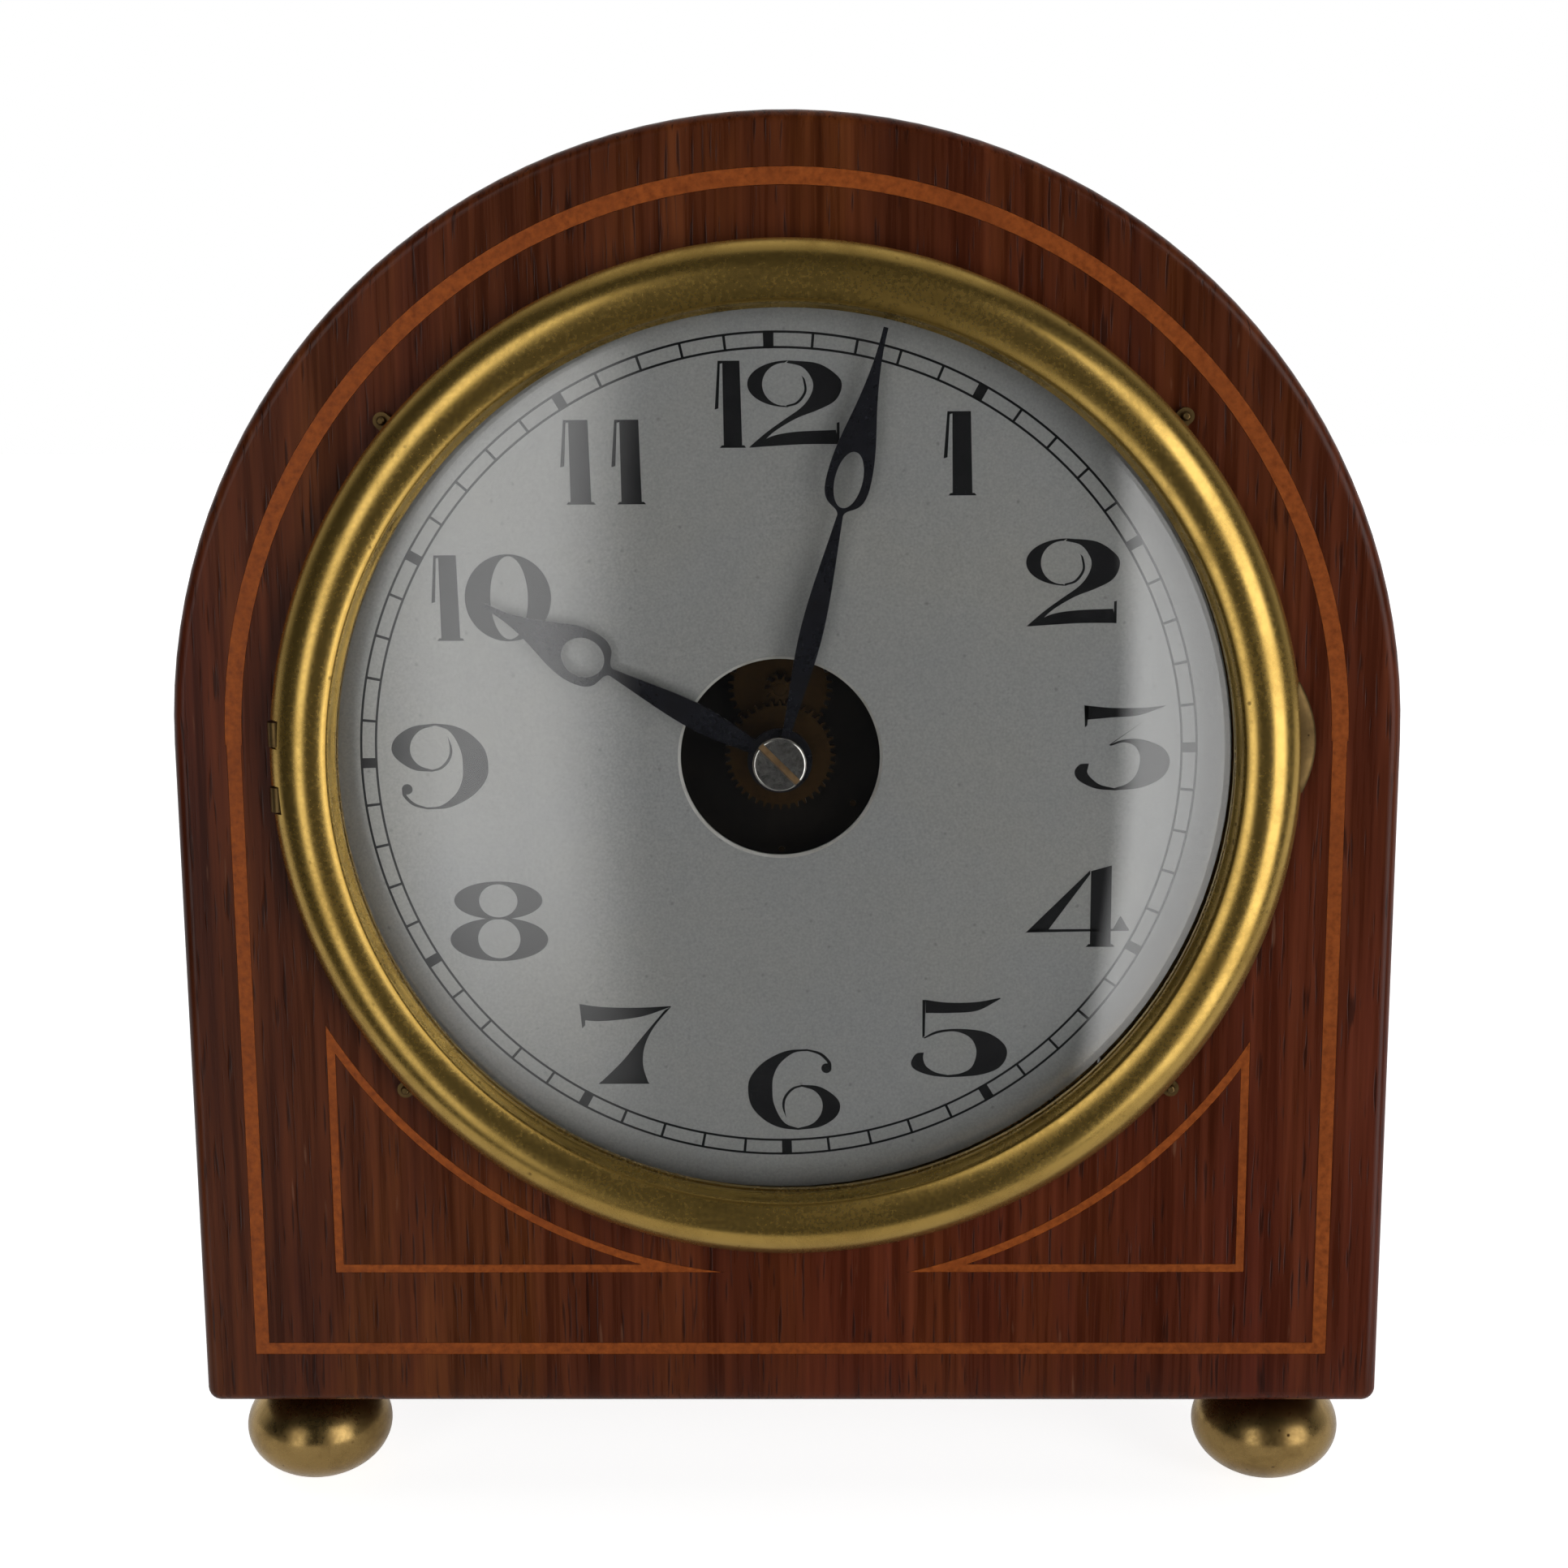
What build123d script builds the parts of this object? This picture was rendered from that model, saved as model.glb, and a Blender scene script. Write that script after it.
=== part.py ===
from build123d import *
import os
from math import asin, cos, degrees, radians, sin, sqrt

# A round-arched wooden mantel clock with a hinged brass bezel, a silvered dial with a centre hole,
# and a battery movement whose pendulum carries a curved magnet through a fixed coil.
# Lengths are millimetres. X runs to the right, Y to the back and Z up, with the feet on Z = 0.

# Wooden case, built round the bezel with a margin at its sides and below it
bezel_outer_radius = 79.2
bezel_drop = 2.8
bezel_side_margin = 15.8
bezel_base_margin = 27.0
case_depth = 86.0
front_panel_thickness = 9.0
band_thickness = 8.0
back_board_thickness = 6.0
base_board_thickness = 10.0
edge_rounding = 2.0
corner_rounding = 2.2

# Inlaid strings of the front panel
inlay_depth = 0.8
inlay_clearance = 0.05
border_side_inset = 9.6
border_base_inset = 9.5
border_arch_width = 2.6
border_leg_width = 2.2
border_base_width = 1.9
spandrel_side_inset = 6.9
spandrel_base_gap = 3.8
spandrel_left_reach = 2.0
spandrel_right_reach = 3.5
spandrel_width = 1.3

# Turned brass feet
foot_height = 16.9
foot_radius = 12.0
foot_bulge_height = 8.1
foot_neck_radius = 5.0
foot_pad_radius = 4.6
foot_side_inset = 15.8
foot_place_inset = 13.0
foot_stud_radius = 2.5
foot_stud_bite = 8.0

# Bezel, its seat on the panel and the domed glass
bezel_width = 10.2
bezel_height = 6.4
bezel_lip_thickness = 0.9
skirt_thickness = 0.6
skirt_reach = 0.6
tab_half_length = 9.0
tab_proud = 2.0
tab_rise = 3.9
tab_thickness = 1.2
flange_inset = 0.8
flange_thickness = 1.2
sleeve_thickness = 0.8
sleeve_reach = 7.0
ear_reach = 1.7
ear_radius = 1.3
ear_tilt = 41.0
nail_radius = 0.45
nail_head_radius = 0.7
nail_head_height = 0.8
nail_length = 7.0
glass_lip_cover = 0.9
glass_thickness = 1.8
glass_rise = 9.0
glass_ring_width = 0.9
glass_ring_height = 1.0

# Bezel hinge, hidden behind the roll at nine o'clock
hinge_axis_inset = 1.2
hinge_axis_height = 3.0
hinge_barrel_radius = 1.4
hinge_pin_radius = 0.6
hinge_middle_length = 5.8
hinge_knuckle_length = 3.8

# Shares of the bezel's width (from its outer edge) and height that shape its section
roll_under_share = 0.14
roll_side_shares = (0.0045, 0.508)
roll_crest_share = 0.578
groove_shares = (0.882, 0.8875)
bead_top_shares = (0.908, 0.845)
bead_end_shares = (0.928, 0.76)
lip_height_share = 0.60
tab_height_share = 0.50

# Dial
dial_offset_x = -0.8
dial_thickness = 1.0
dial_hole_radius = 15.5
dial_hole_bevel = 0.4
dial_foot_radius = 2.0
dial_foot_x = 25.0
dial_foot_up = 8.0
dial_foot_down = 10.0

# Hands and their nut
hand_thickness = 0.6
hand_glass_step = 0.09
hand_gap = 0.8
hand_dial_gap = 1.9
minute_hand_angle = 13.9
minute_hand_margin = 2.0
minute_eye_half_width = 3.4
minute_eye_hole_half_width = 2.1
minute_neck_half_width = 0.45
minute_leaf_half_width = 1.75
minute_hub_radius = 3.4
hour_hand_angle = -61.7
hour_hand_margin = 18.4
hour_eye_half_width = 4.3
hour_eye_hole_half_width = 3.0
hour_neck_half_width = 0.55
hour_leaf_half_width = 1.95
hour_hub_radius = 5.0
tip_half_width = 0.36
nut_radius = 4.2
nut_thickness = 2.0
nut_slot_width = 1.1
nut_slot_depth = 0.9
nut_slot_angle = 45.0

# Shares of a hand's length at its eye, neck and leaf, shares of the rise from neck to eye that its hole
# takes up each way, and shares that place the bends of the outline
minute_eye_share = 0.6563
minute_neck_share = 0.5752
minute_leaf_share = 0.2876
hour_eye_share = 0.6654
hour_neck_share = 0.5681
hour_leaf_share = 0.2400
minute_eye_hole_share = 0.786
hour_eye_hole_share = 0.68
blade_middle_shares = (0.53, 0.446)
eye_turn_shares = (0.62, 0.28)
hub_share = 0.16

# Back door
door_side_inset = 37.0
door_sill = 9.1
door_spring_drop = 5.9
door_gap = 0.5
door_knob_length = 8.0
door_knob_radius = 4.5
door_knob_neck_radius = 2.4
door_knob_inset = 9.0
door_low_hinge_rise = 24.0
door_high_hinge_drop = 8.0
door_barrel_radius = 1.6
door_barrel_lift = 1.9
door_pin_radius = 0.8
door_leaf_height = 16.0
door_leaf_width = 11.0
door_leaf_thickness = 1.0
door_middle_height = 6.0
button_length = 22.0
button_width = 6.0
button_thickness = 2.5
button_inset = 6.5
button_screw_radius = 1.2
button_head_radius = 2.4
button_head_height = 1.2
button_screw_bite = 4.0

# Movement plates and what holds them
bar_height = 12.0
bar_thickness = 2.0
bar_end_gap = 1.95
bar_up = 26.0
bar_down = 30.0
bar_screw_inset = 5.0
screw_radius = 1.4
screw_head_radius = 2.8
screw_head_height = 1.5
screw_bite = 5.0
plate_half_width = 30.0
plate_margin = 12.0
plate_down = 38.0
plate_thickness = 2.0
plate_space = 20.0
plate_rounding = 5.0
pillar_radius = 2.5
pillar_side_inset = 5.0
pillar_end_inset = 7.0
pillar_screw_radius = 1.2
pillar_screw_bite = 5.0

# Wheels: tooth counts, modules and depths of their front faces
cannon_teeth = 12
minute_wheel_teeth = 36
minute_pinion_teeth = 10
hour_wheel_teeth = 40
centre_teeth = 64
third_pinion_teeth = 8
third_teeth = 60
ratchet_pinion_teeth = 8
ratchet_teeth = 96
motion_distance = 10.4
train_module = 0.4
wheel_thickness = 1.2
pinion_length = 4.5
motion_pinion_length = 1.8
motion_gap = 1.6
centre_wheel_gap = 4.0
third_wheel_gap = 11.0
ratchet_wheel_gap = 2.0
ratchet_radius = 12.0
ratchet_tooth_height = 0.7
ratchet_drop = 16.3
centre_arbor_radius = 1.2
cannon_tube_radius = 1.9
hour_pipe_wall = 0.9
arbor_radius = 0.8
pivot_radius = 0.5
post_radius = 1.0

# Shares of a tooth's pitch and of the module that shape the wheel teeth
tooth_root_share = 0.23
tooth_tip_share = 0.09
tooth_rise_share = 0.8
tooth_fall_share = 1.15

# Pendulum
suspension_up = 22.0
pendulum_gap = 11.0
pendulum_post_radius = 1.5
pendulum_post_shoulder = 3.0
pendulum_post_head = 2.6
pendulum_post_head_length = 1.5
hanger_width = 7.0
hanger_height = 9.0
hanger_depth = 5.0
spring_length = 9.0
spring_thickness = 0.4
rod_width = 6.0
rod_thickness = 2.0
rod_thread_radius = 1.5
rod_thread_tail = 6.9
rod_clamp_gap = 2.0
magnet_floor_gap = 21.2
magnet_bar_radius = 3.2
magnet_rod_gap = 1.3
magnet_half_angle = 20.0
clamp_width = 10.0
clamp_height = 11.0
clamp_wall = 2.3
rating_nut_radius = 5.0
rating_nut_height = 4.0
pawl_drop = 18.0
pawl_stud_radius = 0.7
pawl_hub_radius = 1.8
pawl_arm_width = 1.2
pawl_tip_x = 3.0
pawl_tip_gap = 0.95
pawl_thickness = 1.0
contact_block_width = 8.0
contact_block_height = 7.0
contact_place_x = 18.0
contact_drop = 12.0
contact_gap = 8.2
contact_strip_thickness = 0.4
contact_strip_height = 4.0

# Coil, battery and leads
coil_angle = 24.0
coil_length = 18.0
coil_bore_radius = 5.2
coil_tube_wall = 1.0
coil_flange_half = 14.0
coil_flange_thickness = 1.5
coil_winding_radius = 12.6
coil_bracket_thickness = 2.0
coil_bracket_foot = 12.0
coil_bracket_half_width = 13.0
cell_radius = 16.4
cell_height = 58.0
cell_cap_radius = 4.5
cell_cap_height = 1.6
cell_wall_gap = 1.0
cell_back_gap = 17.6
terminal_thickness = 0.8
terminal_width = 10.0
terminal_rise = 14.0
lead_radius = 0.6
lead_bend = 4.0
lead_lift = 0.2

# Fits
running_clearance = 0.05
seat_clearance = 0.1
side_clearance = 0.3
bezel_clearance = 0.2
overrun = 3.0

# Places that follow from the sizes above
case_half_width = bezel_outer_radius + bezel_side_margin
case_leg_height = bezel_drop + bezel_outer_radius + bezel_base_margin
case_bottom = foot_height
arch_z = case_bottom + case_leg_height
bezel_z = arch_z - bezel_drop
dial_z = bezel_z
bezel_inner_radius = bezel_outer_radius - bezel_width
bezel_back = flange_thickness + bezel_clearance
glass_radius = bezel_inner_radius + glass_lip_cover
skirt_inner_radius = glass_radius + seat_clearance
skirt_outer_radius = skirt_inner_radius + skirt_thickness
sleeve_radius = skirt_outer_radius + side_clearance
flange_radius = bezel_outer_radius - flange_inset
ear_place_radius = flange_radius + ear_reach
lip_under = bezel_height * lip_height_share - bezel_lip_thickness
glass_lip_drop = glass_rise * (1 - (bezel_inner_radius / glass_radius) ** 2)
glass_edge_height = lip_under - glass_lip_drop - seat_clearance
glass_apex_height = glass_edge_height + glass_rise
overall_depth = glass_apex_height + case_depth + door_knob_length
front_face_y = glass_apex_height - overall_depth / 2
back_face_y = front_face_y + case_depth
panel_hole_radius = sleeve_radius + sleeve_thickness + side_clearance
spandrel_side_x = bezel_outer_radius - spandrel_side_inset
spandrel_base_drop = bezel_outer_radius + spandrel_base_gap
spandrel_left_radius = spandrel_base_drop + spandrel_left_reach
spandrel_right_radius = spandrel_base_drop + spandrel_right_reach
foot_place_x = case_half_width - foot_side_inset
hinge_axis_x = -(bezel_outer_radius - hinge_axis_inset)
hinge_outer_half = hinge_middle_length / 2 + side_clearance + hinge_knuckle_length
plate_front = front_panel_thickness + bar_thickness
plate_back = plate_front + plate_thickness
rear_plate_front = plate_back + plate_space
rear_plate_back = rear_plate_front + plate_thickness
minute_hand_depth = glass_thickness - glass_edge_height - hand_glass_step
minute_hand_back = minute_hand_depth + hand_thickness
hour_hand_depth = minute_hand_back + hand_gap
dial_depth = hour_hand_depth + hand_thickness + hand_dial_gap
dial_back = dial_depth + dial_thickness
dial_radius = sleeve_radius - abs(dial_offset_x) - side_clearance
minute_hand_length = dial_radius - minute_hand_margin
hour_hand_length = dial_radius - hour_hand_margin
minute_eye_place = minute_hand_length * minute_eye_share
minute_neck_place = minute_hand_length * minute_neck_share
minute_eye_hole_half_length = (minute_eye_place - minute_neck_place) * minute_eye_hole_share
hour_eye_place = hour_hand_length * hour_eye_share
hour_neck_place = hour_hand_length * hour_neck_share
hour_eye_hole_half_length = (hour_eye_place - hour_neck_place) * hour_eye_hole_share
minute_wheel_depth = plate_front - motion_gap - wheel_thickness
hour_wheel_depth = minute_wheel_depth - motion_gap - wheel_thickness
centre_wheel_depth = plate_back + centre_wheel_gap
third_wheel_depth = plate_back + third_wheel_gap
motion_post_z = dial_z + motion_distance
cannon_module = 2 * motion_distance / (cannon_teeth + minute_wheel_teeth)
hour_module = 2 * motion_distance / (minute_pinion_teeth + hour_wheel_teeth)
third_distance = train_module * (centre_teeth + third_pinion_teeth) / 2
ratchet_distance = train_module * (third_teeth + ratchet_pinion_teeth) / 2
third_drop = (third_distance**2 - ratchet_distance**2 + ratchet_drop**2) / (2 * ratchet_drop)
third_x = dial_offset_x + sqrt(third_distance**2 - third_drop**2)
third_z = dial_z - third_drop
ratchet_z = dial_z - ratchet_drop
ratchet_front = rear_plate_back + ratchet_wheel_gap
base_top = case_bottom + base_board_thickness
inner_back = case_depth - back_board_thickness
inner_half_width = case_half_width - band_thickness
bar_rise = dial_z + bar_up + bar_height / 2 - arch_z
bar_half_length = sqrt(inner_half_width**2 - bar_rise**2) - bar_end_gap
plate_up = suspension_up + plate_margin
pillar_x = plate_half_width - pillar_side_inset
suspension_z = dial_z + suspension_up
pendulum_depth = rear_plate_back + pendulum_gap
magnet_radius = suspension_z - base_top - magnet_floor_gap
magnet_depth = pendulum_depth - rod_thread_radius - magnet_rod_gap - magnet_bar_radius
cell_place_x = cell_radius + cell_wall_gap - inner_half_width
cell_place_depth = inner_back - cell_back_gap - cell_radius
door_half_width = case_half_width - door_side_inset
door_bottom = base_top + door_sill
door_spring_height = arch_z - door_spring_drop
door_hinge_heights = (door_bottom + door_low_hinge_rise, door_spring_height - door_high_hinge_drop)
door_axis_x = door_half_width - door_gap / 2
door_axis_y = back_face_y + door_barrel_lift


def facing(depth):
    """The plane across the clock at a depth behind the case's front face, looking out of the front."""
    return Plane.XZ.offset(-(front_face_y + depth))


def level(height):
    """The horizontal plane at a height, with X to the right and Y to the back."""
    return Plane.XY.offset(height)


def upright(x, depth):
    """The plane through a vertical line, with X to the right and Z up."""
    return Plane(origin=(x, front_face_y + depth, 0), x_dir=(1, 0, 0), z_dir=(0, -1, 0))


def polar(radius, angle, centre=(0, 0)):
    """A point at a radius and an angle in degrees from a centre."""
    return (centre[0] + radius * cos(radians(angle)), centre[1] + radius * sin(radians(angle)))


def bezel_point(radius, height):
    """A point of a section through the bezel, by its radius and its height above the front face."""
    return (radius, front_face_y - height)


def section_point(shares):
    """A point of the bezel's section, as shares of its width from the outer edge and of its height."""
    return bezel_point(bezel_outer_radius - bezel_width * shares[0], bezel_height * shares[1])


def draw_arch(half_width, bottom, spring, mode=Mode.ADD):
    """Adds a round arch on straight legs to the open sketch, or cuts it."""
    with BuildLine() as outline:
        arch = CenterArc((0, spring), half_width, 0, 180)
        Polyline(arch @ 1, (-half_width, bottom), (half_width, bottom), arch @ 0)
    make_face(outline.edges(), mode=mode)


def draw_case():
    """Adds the case's outline, an arch with softened bottom corners, to the open sketch."""
    with BuildLine() as outline:
        arch = CenterArc((0, arch_z), case_half_width, 0, 180)
        left_corner = (-case_half_width, case_bottom)
        right_corner = (case_half_width, case_bottom)
        FilletPolyline(arch @ 1, left_corner, right_corner, arch @ 0, radius=corner_rounding)
    make_face(outline.edges())


def draw_polygon(points):
    """Adds a polygon through the points to the open sketch."""
    with BuildLine() as outline:
        Polyline(*points, close=True)
    make_face(outline.edges())


def draw_border_arch(grow):
    """Adds the border's half ring, grown all round, to the open sketch."""
    middle = case_half_width - border_side_inset
    with BuildLine() as outline:
        outer = CenterArc((0, arch_z), middle + border_arch_width / 2 + grow, 0, 180)
        inner = CenterArc((0, arch_z), middle - border_arch_width / 2 - grow, 0, 180)
        Line(outer @ 0, inner @ 0)
        Line(outer @ 1, inner @ 1)
    make_face(outline.edges())


def border_corners(side, grow):
    """The outer and inner mitre points where a leg of the border meets its base."""
    x = case_half_width - border_side_inset
    z = case_bottom + border_base_inset
    half_leg = border_leg_width / 2 + grow
    half_base = border_base_width / 2 + grow
    return (side * (x + half_leg), z - half_base), (side * (x - half_leg), z + half_base)


def draw_border_leg(side, grow):
    """Adds one mitred leg of the border to the open sketch."""
    outer, inner = border_corners(side, grow)
    draw_polygon([outer, inner, (inner[0], arch_z), (outer[0], arch_z)])


def draw_border_base(grow):
    """Adds the mitred base of the border to the open sketch."""
    left_outer, left_inner = border_corners(-1, grow)
    right_outer, right_inner = border_corners(1, grow)
    draw_polygon([left_outer, right_outer, right_inner, left_inner])


def draw_spandrel(side, radius, grow, mode=Mode.ADD):
    """Adds a corner shape with one hollow side, concentric with the bezel, to the open sketch."""
    x = spandrel_side_x + grow
    z = bezel_z - spandrel_base_drop - grow
    arc_radius = radius - grow
    high = (side * x, bezel_z - sqrt(arc_radius**2 - x**2))
    low = (side * x, z)
    inner = (side * sqrt(arc_radius**2 - (bezel_z - z) ** 2), z)
    high_angle = asin(x / arc_radius)
    inner_angle = asin(abs(inner[0]) / arc_radius)
    middle_angle = (high_angle + inner_angle) / 2
    middle = (side * arc_radius * sin(middle_angle), bezel_z - arc_radius * cos(middle_angle))
    with BuildLine() as outline:
        Polyline(high, low, inner)
        ThreePointArc(inner, middle, high)
    make_face(outline.edges(), mode=mode)


def draw_spandrel_string(side, radius, grow):
    """Adds the string round one spandrel to the open sketch."""
    half = spandrel_width / 2 + grow
    draw_spandrel(side, radius, half)
    draw_spandrel(side, radius, -half, mode=Mode.SUBTRACT)


def draw_gear(teeth, module, centre, tooth_angle):
    """Adds a wheel with thin straight-flanked teeth, one of them centred on an angle, to the sketch."""
    root = module * (teeth / 2 - tooth_fall_share)
    tip = module * (teeth / 2 + tooth_rise_share)
    pitch_angle = 360 / teeth
    points = []
    for tooth in range(teeth):
        middle = tooth_angle + tooth * pitch_angle
        points.append(polar(root, middle - tooth_root_share * pitch_angle, centre))
        points.append(polar(tip, middle - tooth_tip_share * pitch_angle, centre))
        points.append(polar(tip, middle + tooth_tip_share * pitch_angle, centre))
        points.append(polar(root, middle + tooth_root_share * pitch_angle, centre))
    draw_polygon(points)


def add_disc(centre, radius, front, back, mode=Mode.ADD):
    """Adds or cuts a round bar along Y between two depths."""
    add_discs([centre], radius, front, back, mode)


def add_discs(centres, radius, front, back, mode=Mode.ADD):
    """Adds or cuts the same round bar along Y at several places."""
    with BuildSketch(facing(back)) as section:
        with Locations(*centres):
            Circle(radius)
    extrude(section.sketch, amount=back - front, mode=mode)


def add_gear(teeth, module, centre, tooth_angle, front, length):
    """Adds a toothed wheel whose front face lies at a depth."""
    with BuildSketch(facing(front + length)) as section:
        draw_gear(teeth, module, centre, tooth_angle)
    extrude(section.sketch, amount=length)


# Places of the repeated pieces
dial_centre = (dial_offset_x, dial_z)
third_centre = (third_x, third_z)
ratchet_centre = (dial_offset_x, ratchet_z)
suspension_centre = (dial_offset_x, suspension_z)
ear_angles = (ear_tilt, 180 - ear_tilt, 180 + ear_tilt, -ear_tilt)
ear_places = [polar(ear_place_radius, angle, (0, bezel_z)) for angle in ear_angles]
foot_depths = {"front": foot_place_inset, "back": case_depth - foot_place_inset}
foot_sides = {"left": -foot_place_x, "right": foot_place_x}
foot_places = [(x, front_face_y + depth) for depth in foot_depths.values() for x in foot_sides.values()]
bar_heights = (dial_z + bar_up, dial_z - bar_down)
bar_screw_x = bar_half_length - bar_screw_inset
bar_screw_places = [(side * bar_screw_x, z) for z in bar_heights for side in (-1, 1)]
pillar_heights = (dial_z + plate_up - pillar_end_inset, dial_z - plate_down + pillar_end_inset)
pillar_places = [(dial_offset_x + side * pillar_x, z) for z in pillar_heights for side in (-1, 1)]
dial_foot_heights = (dial_z + dial_foot_up, dial_z - dial_foot_down)
dial_foot_places = [(dial_offset_x + side * dial_foot_x, z)
                    for z in dial_foot_heights for side in (-1, 1)]
button_place = (-(door_half_width + button_inset), door_spring_height)
door_knob_place = (-(door_half_width - door_knob_inset), door_spring_height)


# Front panel: an arched board with the dial opening, the grooves for the strings and the nail holes
with BuildPart() as front_panel:
    with BuildSketch(facing(front_panel_thickness)):
        draw_case()
    extrude(amount=front_panel_thickness)
    fillet(front_panel.edges().group_by(Axis.Y)[0], edge_rounding)
    add_disc((0, bezel_z), panel_hole_radius, 0, front_panel_thickness, mode=Mode.SUBTRACT)
    with BuildSketch(facing(inlay_depth)):
        draw_border_arch(inlay_clearance)
        draw_border_leg(-1, inlay_clearance)
        draw_border_leg(1, inlay_clearance)
        draw_border_base(inlay_clearance)
        draw_spandrel_string(-1, spandrel_left_radius, inlay_clearance)
        draw_spandrel_string(1, spandrel_right_radius, inlay_clearance)
    extrude(amount=inlay_depth, mode=Mode.SUBTRACT)
    nail_bite = nail_length - flange_thickness + seat_clearance
    add_discs(ear_places, nail_radius + running_clearance, 0, nail_bite, mode=Mode.SUBTRACT)
    screw_floor = front_panel_thickness - screw_bite - seat_clearance
    add_discs(bar_screw_places, screw_radius + running_clearance, screw_floor, front_panel_thickness,
              mode=Mode.SUBTRACT)

# Bent band: the sides and top of the case
with BuildPart() as arch_band:
    with BuildSketch(facing(inner_back)):
        draw_case()
        draw_arch(inner_half_width, case_bottom, arch_z, mode=Mode.SUBTRACT)
    extrude(amount=inner_back - front_panel_thickness)

# Base board between the band's legs
with BuildPart() as base_board:
    with BuildSketch(level(case_bottom)):
        with Locations((0, front_face_y + (front_panel_thickness + inner_back) / 2)):
            Rectangle(2 * inner_half_width, inner_back - front_panel_thickness)
    extrude(amount=base_board_thickness)
    with BuildSketch(level(case_bottom)):
        with Locations(*foot_places):
            Circle(foot_stud_radius + running_clearance)
    extrude(amount=foot_stud_bite + seat_clearance, mode=Mode.SUBTRACT)

# Back board with an arched opening for the door
with BuildPart() as back_board:
    with BuildSketch(facing(case_depth)):
        draw_case()
    extrude(amount=back_board_thickness)
    fillet(back_board.edges().group_by(Axis.Y)[-1], edge_rounding)
    with BuildSketch(facing(case_depth)):
        draw_arch(door_half_width, door_bottom, door_spring_height)
    extrude(amount=back_board_thickness, mode=Mode.SUBTRACT)
    button_hole_floor = case_depth - button_screw_bite - seat_clearance
    add_disc(button_place, button_screw_radius + running_clearance, button_hole_floor, case_depth,
             mode=Mode.SUBTRACT)

# Strings let into the front panel
with BuildPart() as inlay_arch:
    with BuildSketch(facing(inlay_depth)):
        draw_border_arch(0)
    extrude(amount=inlay_depth)

with BuildPart() as inlay_legs:
    with BuildSketch(facing(inlay_depth)):
        draw_border_leg(-1, 0)
        draw_border_leg(1, 0)
    extrude(amount=inlay_depth)

with BuildPart() as inlay_base:
    with BuildSketch(facing(inlay_depth)):
        draw_border_base(0)
    extrude(amount=inlay_depth)

with BuildPart() as inlay_spandrels:
    with BuildSketch(facing(inlay_depth)):
        draw_spandrel_string(-1, spandrel_left_radius, 0)
        draw_spandrel_string(1, spandrel_right_radius, 0)
    extrude(amount=inlay_depth)

# Feet: flattened balls on short necks, with flat pads to stand on and studs into the base
foot_ball_half_height = foot_bulge_height / sqrt(1 - (foot_pad_radius / foot_radius) ** 2)
feet = {}
for row, depth in foot_depths.items():
    for side, x in foot_sides.items():
        with BuildPart() as foot:
            with BuildSketch(upright(x, depth)):
                with Locations((0, foot_bulge_height)):
                    Ellipse(foot_radius, foot_ball_half_height)
                with Locations((0, foot_height)):
                    Rectangle(2 * foot_neck_radius, foot_bulge_height, align=(Align.CENTER, Align.MAX))
                Rectangle(2 * foot_radius, foot_height, align=(Align.CENTER, Align.MAX),
                          mode=Mode.SUBTRACT)
                Rectangle(2 * foot_radius, 2 * foot_height, align=(Align.MAX, Align.CENTER),
                          mode=Mode.SUBTRACT)
            revolve(axis=Axis((x, front_face_y + depth, 0), (0, 0, 1)))
            with BuildSketch(level(foot_height)):
                with Locations((x, front_face_y + depth)):
                    Circle(foot_stud_radius)
            extrude(amount=foot_stud_bite)
        feet[f"foot_{row}_{side}"] = foot

# Bezel seat: a flanged brass sleeve in the dial opening, with four nailed ears and two hinge knuckles
with BuildPart() as bezel_seat_ring:
    with BuildSketch(level(bezel_z)):
        draw_polygon([bezel_point(sleeve_radius, flange_thickness),
                      bezel_point(flange_radius, flange_thickness),
                      bezel_point(flange_radius, 0),
                      bezel_point(sleeve_radius + sleeve_thickness, 0),
                      bezel_point(sleeve_radius + sleeve_thickness, -sleeve_reach),
                      bezel_point(sleeve_radius, -sleeve_reach)])
    revolve(axis=Axis((0, 0, bezel_z), (0, 1, 0)))
    with BuildSketch(facing(0)):
        for angle in ear_angles:
            with Locations((0, bezel_z)):
                with PolarLocations((ear_place_radius + sleeve_radius + sleeve_thickness) / 2, 1, angle):
                    Rectangle(ear_place_radius - sleeve_radius - sleeve_thickness, 2 * ear_radius)
        with Locations(*ear_places):
            Circle(ear_radius)
    extrude(amount=flange_thickness)
    add_discs(ear_places, nail_radius + running_clearance, -flange_thickness, 0, mode=Mode.SUBTRACT)
    for low in (bezel_z - hinge_outer_half, bezel_z + hinge_outer_half - hinge_knuckle_length):
        with BuildSketch(level(low)):
            with Locations(bezel_point(hinge_axis_x, hinge_axis_height)):
                Circle(hinge_barrel_radius)
            with Locations(bezel_point(hinge_axis_x, hinge_axis_height / 2)):
                Rectangle(hinge_barrel_radius, hinge_axis_height)
        extrude(amount=hinge_knuckle_length)
        with BuildSketch(level(low)):
            with Locations(bezel_point(hinge_axis_x, hinge_axis_height)):
                Circle(hinge_pin_radius + running_clearance)
        extrude(amount=hinge_knuckle_length, mode=Mode.SUBTRACT)

# Round-headed nails through the ears
with BuildPart() as bezel_pins:
    add_discs(ear_places, nail_radius, -flange_thickness, nail_length - flange_thickness)
    add_discs(ear_places, nail_head_radius, -flange_thickness - nail_head_height, -flange_thickness)
    fillet(bezel_pins.edges().group_by(Axis.Y)[0], nail_head_height / 2)

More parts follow.
